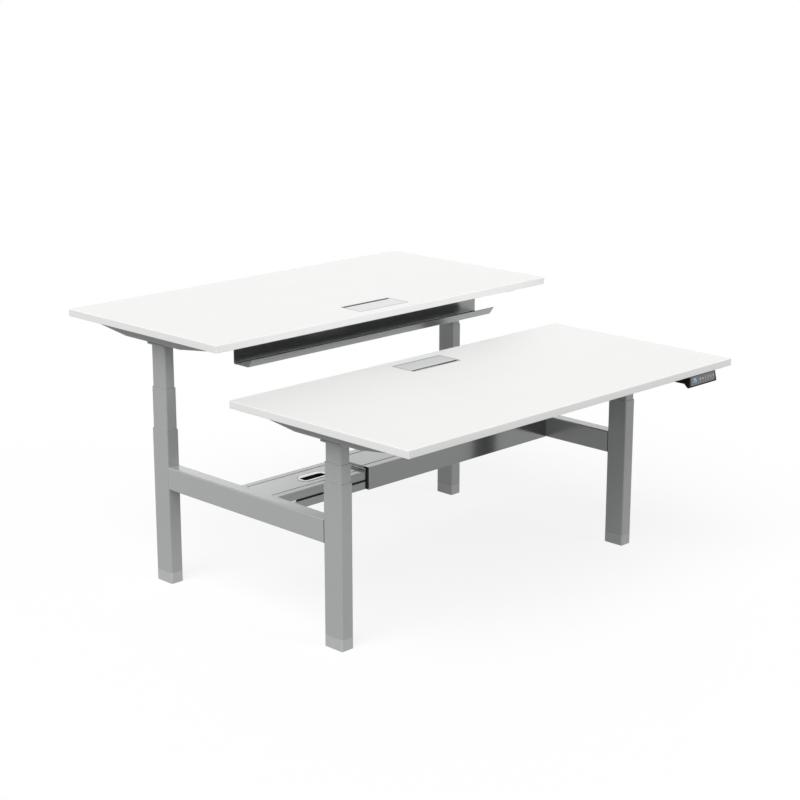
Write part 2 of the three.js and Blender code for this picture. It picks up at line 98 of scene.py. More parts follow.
def seenDirectly(tree):
    # 1 for rays from the camera and for mirror and see-through rays, 0 for light that only bounces
    path = tree.nodes.new("ShaderNodeLightPath")
    seen = path.outputs["Is Camera Ray"]
    for name in ("Is Glossy Ray", "Is Transmission Ray"):
        either = tree.nodes.new("ShaderNodeMath")
        either.operation = "MAXIMUM"
        tree.links.new(seen, either.inputs[0])
        tree.links.new(path.outputs[name], either.inputs[1])
        seen = either.outputs[0]
    return seen


def mixShaders(tree, share, first, second):
    mix = tree.nodes.new("ShaderNodeMixShader")
    tree.links.new(share, mix.inputs[0])
    tree.links.new(first.outputs[0], mix.inputs[1])
    tree.links.new(second.outputs[0], mix.inputs[2])
    return mix


def fadeOut(tree, reach, share):
    # share near the middle of the floor that falls to nothing between two distances
    place = tree.nodes.new("ShaderNodeTexCoord")
    far = tree.nodes.new("ShaderNodeVectorMath")
    far.operation = "LENGTH"
    tree.links.new(place.outputs["Object"], far.inputs[0])
    fade = tree.nodes.new("ShaderNodeMapRange")
    fade.interpolation_type = "SMOOTHSTEP"
    fade.inputs["From Min"].default_value, fade.inputs["From Max"].default_value = reach
    fade.inputs["To Min"].default_value = share
    fade.inputs["To Max"].default_value = 0
    tree.links.new(far.outputs["Value"], fade.inputs["Value"])
    return fade.outputs[0]


def makeFloor():
    material = bpy.data.materials.new("studioFloor")
    material.use_nodes = True
    material.cycles.emission_sampling = "NONE"  # the white paper is looked at, not a lamp
    tree = material.node_tree
    tree.nodes.remove(tree.nodes["Principled BSDF"])
    bounce = tree.nodes.new("ShaderNodeBsdfDiffuse")
    bounce.inputs["Color"].default_value = studio["floorBounce"]
    paper = tree.nodes.new("ShaderNodeBsdfDiffuse")
    paper.inputs["Color"].default_value = studio["floorColour"]
    white = tree.nodes.new("ShaderNodeEmission")
    shown = mixShaders(tree, fadeOut(tree, studio["shadowReach"], studio["shadowShare"]), white, paper)
    upper = mixShaders(tree, seenDirectly(tree), bounce, shown)
    clear = tree.nodes.new("ShaderNodeBsdfTransparent")
    side = tree.nodes.new("ShaderNodeNewGeometry")
    whole = mixShaders(tree, side.outputs["Backfacing"], upper, clear)  # nothing hides the part from below
    tree.links.new(whole.outputs[0], tree.nodes["Material Output"].inputs["Surface"])

    bm = bmesh.new()
    bmesh.ops.create_grid(bm, x_segments=1, y_segments=1, size=studio["floorHalf"])
    bmesh.ops.translate(bm, verts=bm.verts, vec=(0, 0, -studio["floorDrop"]))
    mesh = bpy.data.meshes.new("studioFloor")
    bm.to_mesh(mesh)
    bm.free()
    mesh.materials.append(material)
    floor = bpy.data.objects.new("studioFloor", mesh)
    bpy.context.scene.collection.objects.link(floor)


def makeSky():
    world = bpy.data.worlds.new("studioSky")
    bpy.context.scene.world = world
    world.use_nodes = True
    world.cycles.sampling_method = "NONE"  # even all round, so mirror rays find its white
    tree = world.node_tree
    sky = tree.nodes["Background"]
    sky.inputs["Color"].default_value = studio["skyColour"]
    sky.inputs["Strength"].default_value = studio["skyStrength"]
    white = tree.nodes.new("ShaderNodeBackground")
    white.inputs["Color"].default_value = (1, 1, 1, 1)
    whole = mixShaders(tree, seenDirectly(tree), sky, white)
    tree.links.new(whole.outputs[0], tree.nodes["World Output"].inputs["Surface"])


def makeLamps():
    for name, lamp in lamps.items():
        light = bpy.data.lights.new(name, "SUN")
        light.angle = lamp["spread"]
        light.energy = lamp["power"]
        holder = bpy.data.objects.new(name, light)
        holder.location = lamp["place"]
        holder.rotation_euler = holder.location.to_track_quat("Z", "Y").to_euler()
        bpy.context.scene.collection.objects.link(holder)


bpy.context.scene.view_settings.view_transform = "Standard"
makeFloor()
makeSky()
makeLamps()
print("studio lit")


# Shared effects, each a node group that puts out a tone and a height from 0 to 1
def newGroup(name, *inputs):
    tree = bpy.data.node_groups.new(name, "ShaderNodeTree")
    tree.interface.new_socket("Vector", in_out="INPUT", socket_type="NodeSocketVector")
    for label in inputs:
        tree.interface.new_socket(label, in_out="INPUT", socket_type="NodeSocketFloat")
    for label in ("Tone", "Height"):
        tree.interface.new_socket(label, in_out="OUTPUT", socket_type="NodeSocketFloat")
    return tree, tree.nodes.new("NodeGroupInput"), tree.nodes.new("NodeGroupOutput")


def scaledBy(tree, vector, size):
    # coordinates counted in steps of a size
    inverse = tree.nodes.new("ShaderNodeMath")
    inverse.operation = "DIVIDE"
    inverse.inputs[0].default_value = 1
    tree.links.new(size, inverse.inputs[1])
    scaled = tree.nodes.new("ShaderNodeVectorMath")
    scaled.operation = "SCALE"
    tree.links.new(vector, scaled.inputs[0])
    tree.links.new(inverse.outputs[0], scaled.inputs["Scale"])
    return scaled.outputs[0]


def noiseOn(tree, vector, detail):
    noise = tree.nodes.new("ShaderNodeTexNoise")
    noise.inputs["Scale"].default_value = 1
    noise.inputs["Detail"].default_value = detail
    tree.links.new(vector, noise.inputs["Vector"])
    return noise.outputs["Fac"]


def averageOf(tree, first, second):
    total = tree.nodes.new("ShaderNodeMath")
    total.operation = "MULTIPLY_ADD"
    total.inputs[1].default_value = 0.5
    half = tree.nodes.new("ShaderNodeMath")
    half.operation = "MULTIPLY"
    half.inputs[1].default_value = 0.5
    tree.links.new(second, half.inputs[0])
    tree.links.new(first, total.inputs[0])
    tree.links.new(half.outputs[0], total.inputs[2])
    return total.outputs[0]


def grainEffect():
    # fine grain over a slow drift of tone, the same in all directions
    tree, given, out = newGroup("surfaceGrain", "Grain Size", "Drift Size")
    fine = noiseOn(tree, scaledBy(tree, given.outputs["Vector"], given.outputs["Grain Size"]), 3)
    slow = noiseOn(tree, scaledBy(tree, given.outputs["Vector"], given.outputs["Drift Size"]), 2)
    tree.links.new(averageOf(tree, fine, slow), out.inputs["Tone"])
    tree.links.new(fine, out.inputs["Height"])
    return tree


def streakEffect():
    # fine lines drawn out along X
    tree, given, out = newGroup("drawnStreaks", "Line Width", "Line Length")
    parts = tree.nodes.new("ShaderNodeSeparateXYZ")
    tree.links.new(given.outputs["Vector"], parts.inputs[0])
    joined = tree.nodes.new("ShaderNodeCombineXYZ")
    for axis, size in enumerate(("Line Length", "Line Width", "Line Width")):
        steps = tree.nodes.new("ShaderNodeMath")
        steps.operation = "DIVIDE"
        tree.links.new(parts.outputs[axis], steps.inputs[0])
        tree.links.new(given.outputs[size], steps.inputs[1])
        tree.links.new(steps.outputs[0], joined.inputs[axis])
    lines = noiseOn(tree, joined.outputs[0], 4)
    tree.links.new(lines, out.inputs["Tone"])
    tree.links.new(lines, out.inputs["Height"])
    return tree


def flakeEffect():
    # metal flakes in paint: one random tone to each small cell, over orange-peel waves
    tree, given, out = newGroup("metalFlakes", "Flake Size", "Wave Size")
    cells = tree.nodes.new("ShaderNodeTexVoronoi")
    cells.inputs["Scale"].default_value = 1
    tree.links.new(scaledBy(tree, given.outputs["Vector"], given.outputs["Flake Size"]), cells.inputs["Vector"])
    grey = tree.nodes.new("ShaderNodeRGBToBW")
    tree.links.new(cells.outputs["Color"], grey.inputs[0])
    waves = noiseOn(tree, scaledBy(tree, given.outputs["Vector"], given.outputs["Wave Size"]), 1)
    tree.links.new(averageOf(tree, grey.outputs[0], waves), out.inputs["Tone"])
    tree.links.new(waves, out.inputs["Height"])
    return tree


effects = {"grain": grainEffect(), "streak": streakEffect(), "flake": flakeEffect()}


def colour(red, green, blue):
    # screen values from 0 to 255 as the linear colour that renders to them
    shares = [value / 255 for value in (red, green, blue)]
    return [c / 12.92 if c <= 0.04045 else ((c + 0.055) / 1.055) ** 2.4 for c in shares] + [1]


def makeFinish(name, look):
    material = bpy.data.materials.new(name)
    material.use_nodes = True
    tree = material.node_tree
    shader = tree.nodes["Principled BSDF"]
    for socket, value in look["plain"].items():
        shader.inputs[socket].default_value = value
    place = tree.nodes.new("ShaderNodeTexCoord")
    turned = tree.nodes.new("ShaderNodeMapping")
    turned.inputs["Rotation"].default_value = look.get("turn", (0, 0, 0))
    tree.links.new(place.outputs["Object"], turned.inputs["Vector"])
    effect = tree.nodes.new("ShaderNodeGroup")
    effect.node_tree = effects[look["effect"]]
    tree.links.new(turned.outputs[0], effect.inputs["Vector"])
    for socket, value in look["sizes"].items():
        effect.inputs[socket].default_value = value
    tint = tree.nodes.new("ShaderNodeValToRGB")
    tint.name = "tint"
    tint.color_ramp.elements[0].position = 0.25
    tint.color_ramp.elements[1].position = 0.75
    tint.color_ramp.elements[0].color = colour(*look["dark"])
    tint.color_ramp.elements[1].color = colour(*look["light"])
    tree.links.new(effect.outputs["Tone"], tint.inputs[0])
    tree.links.new(tint.outputs[0], shader.inputs["Base Color"])
    sheen = tree.nodes.new("ShaderNodeMapRange")
    sheen.inputs["To Min"].default_value, sheen.inputs["To Max"].default_value = look["roughness"]
    tree.links.new(effect.outputs["Tone"], sheen.inputs["Value"])
    tree.links.new(sheen.outputs[0], shader.inputs["Roughness"])
    relief = tree.nodes.new("ShaderNodeBump")
    relief.inputs["Distance"].default_value = look["depth"]
    tree.links.new(effect.outputs["Height"], relief.inputs["Height"])
    tree.links.new(relief.outputs[0], shader.inputs["Normal"])
    return material


silverPaint = makeFinish("silverPaint", {
    "effect": "flake",
    "sizes": {"Flake Size": 0.35 * mm, "Wave Size": 2.2 * mm},
    "dark": (157, 160, 159),
    "light": (169, 172, 171),
    "roughness": (0.32, 0.4),
    "depth": 0.012 * mm,
    "plain": {"Metallic": 0.05, "Coat Weight": 0.9, "Coat Roughness": 0.18},
})
# column paint: the beams' silver paint with less clear coat, so faces in shade reflect less of the white around
# them, and a slightly lighter base for the lit faces: painted shade and painted light
columnPaintWithPaintedLightAndShade = makeFinish("columnPaintWithPaintedLightAndShade", {
    "effect": "flake",
    "sizes": {"Flake Size": 0.35 * mm, "Wave Size": 2.2 * mm},
    "dark": (161, 164, 163),
    "light": (173, 176, 175),
    "roughness": (0.32, 0.4),
    "depth": 0.012 * mm,
    "plain": {"Metallic": 0.05, "Coat Weight": 0.4, "Coat Roughness": 0.18},
})
sleevePaint = makeFinish("sleevePaint", {
    "effect": "flake",
    "sizes": {"Flake Size": 0.35 * mm, "Wave Size": 2.6 * mm},
    "dark": (119, 121, 121),
    "light": (130, 132, 132),
    "roughness": (0.12, 0.16),
    "depth": 0.004 * mm,
    "plain": {"Metallic": 0.9, "Coat Weight": 0.3, "Coat Roughness": 0.08},
})
# tray paint: the silver steel paint made darker and more metallic, painted shade for a tray that sits under the
# worktop
trayPaintWithPaintedShade = makeFinish("trayPaintWithPaintedShade", {
    "effect": "flake",
    "sizes": {"Flake Size": 0.35 * mm, "Wave Size": 2.6 * mm},
    "dark": (139, 141, 141),
    "light": (150, 152, 152),
    "roughness": (0.16, 0.22),
    "depth": 0.006 * mm,
    "plain": {"Metallic": 0.9, "Coat Weight": 0.3, "Coat Roughness": 0.1},
})
bootPaint = makeFinish("bootPaint", {
    "effect": "grain",
    "sizes": {"Grain Size": 0.6 * mm, "Drift Size": 30 * mm},
    "dark": (180, 182, 181),
    "light": (194, 196, 195),
    "roughness": (0.5, 0.6),
    "depth": 0.02 * mm,
    "plain": {"Metallic": 0.1},
})
drawnAluminium = makeFinish("drawnAluminium", {
    "effect": "streak",
    "sizes": {"Line Width": 0.25 * mm, "Line Length": 60 * mm},
    "dark": (134, 136, 136),
    "light": (148, 150, 150),
    "roughness": (0.26, 0.34),
    "depth": 0.006 * mm,
    "plain": {"Metallic": 0.2, "Coat Weight": 0.9, "Coat Roughness": 0.12},
})
lidAluminium = makeFinish("lidAluminium", {
    "effect": "streak",
    "sizes": {"Line Width": 0.25 * mm, "Line Length": 60 * mm},
    "dark": (148, 150, 150),
    "light": (162, 164, 164),
    "roughness": (0.26, 0.34),
    "depth": 0.006 * mm,
    "plain": {"Metallic": 0.2, "Coat Weight": 0.9, "Coat Roughness": 0.12},
})
satinAluminium = makeFinish("satinAluminium", {
    "effect": "streak",
    "sizes": {"Line Width": 0.25 * mm, "Line Length": 40 * mm},
    "dark": (208, 210, 210),
    "light": (220, 222, 222),
    "roughness": (0.36, 0.44),
    "depth": 0.005 * mm,
    "plain": {"Metallic": 0.05},
})
# port surround: the flap's aluminium made darker, painted shade so the ring round the flap reads as a dark outline
portTrimWithPaintedShade = makeFinish("portTrimWithPaintedShade", {
    "effect": "streak",
    "sizes": {"Line Width": 0.25 * mm, "Line Length": 40 * mm},
    "dark": (166, 168, 168),
    "light": (178, 180, 180),
    "roughness": (0.36, 0.44),
    "depth": 0.005 * mm,
    "plain": {"Metallic": 0.05},
})
paleLining = makeFinish("paleLining", {
    "effect": "grain",
    "sizes": {"Grain Size": 0.4 * mm, "Drift Size": 20 * mm},
    "dark": (242, 243, 242),
    "light": (250, 251, 250),
    "roughness": (0.4, 0.5),
    "depth": 0.01 * mm,
    "plain": {},
})
# lip finish: the lining's white plastic with a faint glow of its own, painted light that brightens the lip where it
# sits in shade
paintedGlowLip = makeFinish("paintedGlowLip", {
    "effect": "grain",
    "sizes": {"Grain Size": 0.4 * mm, "Drift Size": 20 * mm},
    "dark": (242, 243, 242),
    "light": (250, 251, 250),
    "roughness": (0.4, 0.5),
    "depth": 0.01 * mm,
    "plain": {"Emission Color": colour(255, 255, 255), "Emission Strength": 0.42},
})
blackPlastic = makeFinish("blackPlastic", {
    "effect": "grain",
    "sizes": {"Grain Size": 0.5 * mm, "Drift Size": 25 * mm},
    "dark": (11, 12, 13),
    "light": (19, 20, 22),
    "roughness": (0.42, 0.56),
    "depth": 0.025 * mm,
    "plain": {"Specular IOR Level": 0.12},
})
glidePlastic = makeFinish("glidePlastic", {
    "effect": "grain",
    "sizes": {"Grain Size": 0.4 * mm, "Drift Size": 12 * mm},
    "dark": (140, 142, 142),
    "light": (152, 154, 154),
    "roughness": (0.5, 0.62),
    "depth": 0.02 * mm,
    "plain": {},
})
darkMoulding = makeFinish("darkMoulding", {
    "effect": "grain",
    "sizes": {"Grain Size": 0.4 * mm, "Drift Size": 12 * mm},
    "dark": (58, 60, 61),
    "light": (72, 74, 75),
    "roughness": (0.5, 0.62),
    "depth": 0.02 * mm,
    "plain": {},
})
zincSteel = makeFinish("zincSteel", {
    "effect": "grain",
    "sizes": {"Grain Size": 1.2 * mm, "Drift Size": 9 * mm},
    "dark": (196, 199, 202),
    "light": (222, 224, 226),
    "roughness": (0.26, 0.4),
    "depth": 0.01 * mm,
    "plain": {"Metallic": 0.85},
})
turnedSteel = makeFinish("turnedSteel", {
    "effect": "streak",
    "sizes": {"Line Width": 0.3 * mm, "Line Length": 30 * mm},
    "turn": (0, math.radians(90), 0),
    "dark": (120, 122, 124),
    "light": (160, 162, 164),
    "roughness": (0.25, 0.38),
    "depth": 0.01 * mm,
    "plain": {"Metallic": 0.95},
})
driveCasing = makeFinish("driveCasing", {
    "effect": "grain",
    "sizes": {"Grain Size": 0.8 * mm, "Drift Size": 20 * mm},
    "dark": (150, 153, 152),
    "light": (166, 169, 168),
    "roughness": (0.45, 0.55),
    "depth": 0.02 * mm,
    "plain": {"Metallic": 0.3},
})
whiteLaminate = makeFinish("whiteLaminate", {
    "effect": "grain",
    "sizes": {"Grain Size": 0.9 * mm, "Drift Size": 220 * mm},
    "dark": (235, 235, 234),
    "light": (238, 238, 237),
    "roughness": (0.44, 0.52),
    "depth": 0.014 * mm,
    "plain": {"Specular IOR Level": 0.4},
})
# edge band: the worktop's white laminate made lighter, painted light on the board's edges
edgingPaintedLighter = makeFinish("edgingPaintedLighter", {
    "effect": "grain",
    "sizes": {"Grain Size": 0.7 * mm, "Drift Size": 160 * mm},
    "dark": (246, 246, 245),
    "light": (249, 249, 248),
    "roughness": (0.4, 0.46),
    "depth": 0.008 * mm,
    "plain": {"Specular IOR Level": 0.4},
})
panelFilm = makeFinish("panelFilm", {
    "effect": "grain",
    "sizes": {"Grain Size": 0.3 * mm, "Drift Size": 40 * mm},
    "dark": (111, 113, 115),
    "light": (121, 123, 125),
    "roughness": (0.3, 0.38),
    "depth": 0.004 * mm,
    "plain": {},
})
displayGlass = makeFinish("displayGlass", {
    "effect": "grain",
    "sizes": {"Grain Size": 0.3 * mm, "Drift Size": 14 * mm},
    "dark": (84, 98, 112),
    "light": (100, 114, 130),
    "roughness": (0.12, 0.18),
    "depth": 0.002 * mm,
    "plain": {"Coat Weight": 0.5},
})
displayDigits = makeFinish("displayDigits", {
    "effect": "grain",
    "sizes": {"Grain Size": 0.4 * mm, "Drift Size": 6 * mm},
    "dark": (176, 196, 216),
    "light": (196, 214, 230),
    "roughness": (0.4, 0.5),
    "depth": 0.002 * mm,
    "plain": {"Emission Color": colour(170, 200, 230), "Emission Strength": 0.3},
})
printedMarks = makeFinish("printedMarks", {
    "effect": "grain",
    "sizes": {"Grain Size": 0.3 * mm, "Drift Size": 8 * mm},
    "dark": (222, 214, 216),
    "light": (240, 234, 235),
    "roughness": (0.45, 0.55),
    "depth": 0.003 * mm,
    "plain": {},
})
rubberPad = makeFinish("rubberPad", {
    "effect": "grain",
    "sizes": {"Grain Size": 0.7 * mm, "Drift Size": 15 * mm},
    "dark": (32, 32, 33),
    "light": (44, 44, 45),
    "roughness": (0.7, 0.82),
    "depth": 0.05 * mm,
    "plain": {},
})
print("finishes mixed")


# Shapes, each a new bmesh
def block(bm, low, high):
    low, high = Vector(low), Vector(high)
    place = Matrix.Translation((low + high) / 2) @ Matrix.Diagonal((*(high - low), 1))
    bmesh.ops.create_cube(bm, size=1, matrix=place)
    bm.normal_update()


def alongAxis(edges, axis):
    return [e for e in edges if abs((e.verts[1].co - e.verts[0].co).normalized()[axis]) > 0.999]


def rimEdges(bm, axis):
    # edges where the side walls meet the faces at either end of an axis
    ends = [{f for f in e.link_faces if abs(f.normal[axis]) > 0.99} for e in bm.edges]
    return [e for e, found in zip(bm.edges, ends) if len(found) == 1]


def rounded(bm, edges, radius, segments=3):
    bmesh.ops.bevel(
        bm, geom=edges, offset=radius, offset_type="OFFSET", segments=segments,
        profile=0.5, affect="EDGES", clamp_overlap=True, material=-1,
    )
    bm.normal_update()


def roundBox(low, high, corner, ease, axis=2, segments=5):
    # box with round corners about one axis and eased rims at both ends of it
    bm = bmesh.new()
    block(bm, low, high)
    rounded(bm, alongAxis(bm.edges, axis), corner, segments)
    if ease:
        rounded(bm, rimEdges(bm, axis), ease)
    return bm


def boxTube(low, high, corner, wall, axis):
    # rectangular tube, open at both ends of an axis
    bm = bmesh.new()
    block(bm, low, high)
    rounded(bm, alongAxis(bm.edges, axis), corner, 6)
    ends = [f for f in bm.faces if abs(f.normal[axis]) > 0.99]
    bmesh.ops.delete(bm, geom=ends, context="FACES_ONLY")
    bmesh.ops.solidify(bm, geom=bm.faces[:], thickness=wall)
    bm.normal_update()
    return bm


def drawnOut(outline, way, ease, segments=2):
    # closed outline of points drawn out along a vector, its long edges eased
    bm = bmesh.new()
    face = bm.faces.new([bm.verts.new(point) for point in outline])
    grown = bmesh.ops.extrude_face_region(bm, geom=[face])["geom"]
    moved = [g for g in grown if isinstance(g, bmesh.types.BMVert)]
    bmesh.ops.translate(bm, verts=moved, vec=way)
    bmesh.ops.recalc_face_normals(bm, faces=bm.faces)
    along = Vector(way).normalized()
    long = [e for e in bm.edges if abs((e.verts[1].co - e.verts[0].co).normalized().dot(along)) > 0.999]
    if ease:
        rounded(bm, [e for e in long if e.calc_face_angle(0) > math.radians(25)], ease, segments)
    return bm


def foldedSheet(line, way, sheet, bend):
    # sheet folded along an open line of points and drawn out along a vector, thickness on its inner side
    bm = bmesh.new()
    points = [bm.verts.new(point) for point in line]
    edges = [bm.edges.new(pair) for pair in zip(points, points[1:])]
    grown = bmesh.ops.extrude_edge_only(bm, edges=edges)["geom"]
    moved = [g for g in grown if isinstance(g, bmesh.types.BMVert)]
    bmesh.ops.translate(bm, verts=moved, vec=way)
    bmesh.ops.recalc_face_normals(bm, faces=bm.faces)
    rounded(bm, [e for e in bm.edges if len(e.link_faces) == 2], bend, 4)
    bmesh.ops.solidify(bm, geom=bm.faces[:], thickness=sheet)
    bm.normal_update()
    return bm


def windowIn(bm, way, low, high):
    # rectangle cut out of the faces that look up (way 1) or down (way -1), given back as its rim
    for axis, value in ((0, low[0]), (0, high[0]), (1, low[1]), (1, high[1])):
        faces = [f for f in bm.faces if f.normal.z * way > 0.99]
        edges = {e for f in faces for e in f.edges}
        verts = {v for f in faces for v in f.verts}
        point, normal = Vector(), Vector()
        point[axis], normal[axis] = value, 1
        bmesh.ops.bisect_plane(bm, geom=[*verts, *edges, *faces], plane_co=point, plane_no=normal)
        bm.normal_update()
    inside = []
    for face in bm.faces:
        centre = face.calc_center_median()
        within = low[0] < centre.x < high[0] and low[1] < centre.y < high[1]
        if within and face.normal.z * way > 0.99:
            inside.append(face)
    rim = list({e for f in inside for e in f.edges})
    bmesh.ops.delete(bm, geom=inside, context="FACES_ONLY")
    return rim


def rimMoved(bm, rim, lift):
    grown = bmesh.ops.extrude_edge_only(bm, edges=rim)["geom"]
    moved = [g for g in grown if isinstance(g, bmesh.types.BMVert)]
    bmesh.ops.translate(bm, verts=moved, vec=(0, 0, lift))
    return [g for g in grown if isinstance(g, bmesh.types.BMEdge) and all(v in moved for v in g.verts)]


def steppedWindow(bm, upper, lower, drop, height):
    # opening whose upper rectangle is cut to a depth and whose lower one goes on through a slab
    upperRim = rimMoved(bm, windowIn(bm, 1, *upper), -drop)
    lowerRim = rimMoved(bm, windowIn(bm, -1, *lower), height - drop)
    bmesh.ops.bridge_loops(bm, edges=upperRim + lowerRim)
    bmesh.ops.recalc_face_normals(bm, faces=bm.faces)
    bm.normal_update()


def plainWindow(bm, low, high, corner, segments=10):
    # opening with round corners straight through a slab
    rims = windowIn(bm, 1, low, high) + windowIn(bm, -1, low, high)
    bmesh.ops.bridge_loops(bm, edges=rims)
    bmesh.ops.recalc_face_normals(bm, faces=bm.faces)
    bm.normal_update()
    reach = 0.01 * mm
    uprights = [
        e for e in alongAxis(bm.edges, 2)
        if all(low[i] - reach < e.verts[0].co[i] < high[i] + reach for i in (0, 1))
    ]
    rounded(bm, uprights, corner, segments)


def roundBar(start, end, radius, ease, segments=24):
    # round bar between two points with eased ends
    start, end = Vector(start), Vector(end)
    way = end - start
    place = Matrix.Translation((start + end) / 2) @ way.to_track_quat("Z", "Y").to_matrix().to_4x4()
    bm = bmesh.new()
    bmesh.ops.create_cone(
        bm, cap_ends=True, segments=segments, radius1=radius, radius2=radius, depth=way.length, matrix=place,
    )
    bm.normal_update()
    caps = [f for f in bm.faces if len(f.verts) == segments]
    rounded(bm, list({e for f in caps for e in f.edges}), ease, 2)
    return bm


screw = {"headRadius": 5.5 * mm, "headHeight": 3.4 * mm, "socketRadius": 2.3 * mm, "socketDepth": 2 * mm}


def screwHead(seat, way, scale=1):
    # button head with a six-sided socket, sitting on a face and pointing along a vector
    radius, height = screw["headRadius"] * scale, screw["headHeight"] * scale
    bm = bmesh.new()
    place = Matrix.Translation(Vector(seat)) @ Vector(way).to_track_quat("Z", "Y").to_matrix().to_4x4()
    bmesh.ops.create_cone(
        bm, cap_ends=True, segments=24, radius1=radius, radius2=radius * 0.92, depth=height,
        matrix=Matrix.Translation((0, 0, height / 2)),
    )
    bm.normal_update()
    crown = [f for f in bm.faces if f.normal.z > 0.99]
    rounded(bm, list({e for f in crown for e in f.edges}), height * 0.55, 4)
    crown = max((f for f in bm.faces if f.normal.z > 0.99), key=lambda f: f.calc_area())
    rimRadius = max((v.co.xy.length for v in crown.verts))
    bmesh.ops.inset_region(bm, faces=[crown], thickness=rimRadius - screw["socketRadius"] * scale)
    pushed = bmesh.ops.extrude_face_region(bm, geom=[crown])["geom"]
    bmesh.ops.delete(bm, geom=[crown], context="FACES_ONLY")
    moved = [g for g in pushed if isinstance(g, bmesh.types.BMVert)]
    bmesh.ops.translate(bm, verts=moved, vec=(0, 0, -screw["socketDepth"] * scale))
    bmesh.ops.transform(bm, matrix=place, verts=bm.verts)
    return bm


def gathered(shapes):
    # several shapes in one mesh
    whole = bmesh.new()
    for shape in shapes:
        part = bpy.data.meshes.new("part")
        shape.to_mesh(part)
        shape.free()
        whole.from_mesh(part)
        bpy.data.meshes.remove(part)
    return whole


def addPiece(name, bm, finish, body, slotName, *nodes):
    # finish is one material, or a list where the faces carry the numbers of their materials
    bmesh.ops.recalc_face_normals(bm, faces=bm.faces)
    mesh = bpy.data.meshes.new(name)
    bm.to_mesh(mesh)
    bm.free()
    mesh.shade_smooth()
    mesh.set_sharp_from_angle(angle=math.radians(38))
    for material in finish if isinstance(finish, list) else [finish]:
        mesh.materials.append(material)
    piece = bpy.data.objects.new(name, mesh)
    bpy.context.scene.collection.objects.link(piece)
    even = piece.modifiers.new("evenShading", "WEIGHTED_NORMAL")
    even.keep_sharp = True
    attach(piece, body)
    if nodes:
        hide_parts(*nodes)
    return piece


# Places taken from the frame; the rear desk is the front one turned round and lifted
boardLow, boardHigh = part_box("front_worktop")
underside = boardLow.z
userEdge = boardLow.y
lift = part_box("rear_worktop")[1].z - boardHigh.z
deskPlace = {
    "front": Matrix.Identity(4),
    "rear": Matrix.Translation((0, 0, lift)) @ Matrix.Rotation(math.pi, 4, "Z"),
}


def onDesk(bm, desk):
    bmesh.ops.transform(bm, matrix=deskPlace[desk], verts=bm.verts)
    return bm


def middleOf(node):
    low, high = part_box(node)
    return (low + high) / 2


# Worktops
board = {
    "corner": 3 * mm,
    "ease": 1.5 * mm,
    "edging": 2 * mm,
    "rebateGap": 0.6 * mm,
    "rebateDepth": 3.3 * mm,
    "rebateCorner": 4 * mm,
    "holeInset": 3 * mm,
}


def makeBoard(desk):
    bm = roundBox(boardLow, boardHigh, board["corner"], board["ease"], segments=3)
    flats = [f for f in bm.faces if abs(f.normal.z) > 0.99]
    bmesh.ops.inset_individual(bm, faces=flats, thickness=board["edging"] - board["ease"])
    # top and bottom take the laminate, the edges the lighter band with painted light
    for face in bm.faces:
        face.material_index = 0 if face in flats else 1
    low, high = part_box("front_port_frame")
    gap, inset = board["rebateGap"], board["holeInset"]
    upper = (low.x - gap, low.y - gap), (high.x + gap, high.y + gap)
    lower = (low.x + inset, low.y + inset), (high.x - inset, high.y - inset)
    steppedWindow(bm, upper, lower, board["rebateDepth"], boardHigh.z - boardLow.z)
    reach = 0.01 * mm
    corners = [
        e for e in alongAxis(bm.edges, 2)
        if all(abs(abs(v.co.x) - upper[1][0]) < reach for v in e.verts) and e.verts[0].co.z > underside + reach
    ]
    rounded(bm, corners, board["rebateCorner"], 4)
    finishes = [whiteLaminate, edgingPaintedLighter]
    addPiece(f"{desk}_board", onDesk(bm, desk), finishes, f"{desk}_desk", "laminate", f"{desk}_worktop")


for desk in desks:
    makeBoard(desk)
print("worktops made")

# Columns
column = {
    "corner": 5 * mm,
    "wall": 1.8 * mm,
    "rimEase": 0.5 * mm,
    "glideHeight": 14 * mm,
    "glideProud": 0.2 * mm,
    "glideWall": 0.62 * mm,
    "glideGap": 0.04 * mm,
}
boot = {
    "corner": 5 * mm,
    "footEase": 1.5 * mm,
    "topEase": 0.7 * mm,
    "padInset": 5 * mm,
    "padDepth": 2 * mm,
    "stemRadius": 4 * mm,
    "blockHeight": 40 * mm,
}


def makeTube(node, name, body):
    low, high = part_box(node)
    bm = boxTube(low, high, column["corner"], column["wall"], 2)
    rims = [e for e in rimEdges(bm, 2) if e.verts[0].co.z > low.z + mm]
    rounded(bm, rims, column["rimEase"], 2)
    addPiece(name, bm, columnPaintWithPaintedLightAndShade, body, "painted_steel", node)


def makeGlide(node, name, body):
    # bush that lines the mouth of a tube and shows as a thin collar
    low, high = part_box(node)
    inset = Vector((1, 1, 0)) * (column["wall"] + column["glideGap"])
    foot = Vector((low.x, low.y, high.z - column["glideHeight"])) + inset
    top = Vector((high.x, high.y, high.z + column["glideProud"])) - inset
    bm = boxTube(foot, top, column["corner"] - column["wall"], column["glideWall"], 2)
    middle = (low + high) / 2
    reach = (top - foot) / 2 - Vector((column["corner"], 2 * column["glideWall"], 0))
    for face in bm.faces:
        out = face.calc_center_median() - middle
        if abs(out.x) < reach.x and abs(out.y) > reach.y:
            face.material_index = 1  # darker plastic on the two narrow sides, painted shade for the shadow line at the step between tubes
    addPiece(name, bm, [glidePlastic, darkMoulding], body, "grey_plastic")


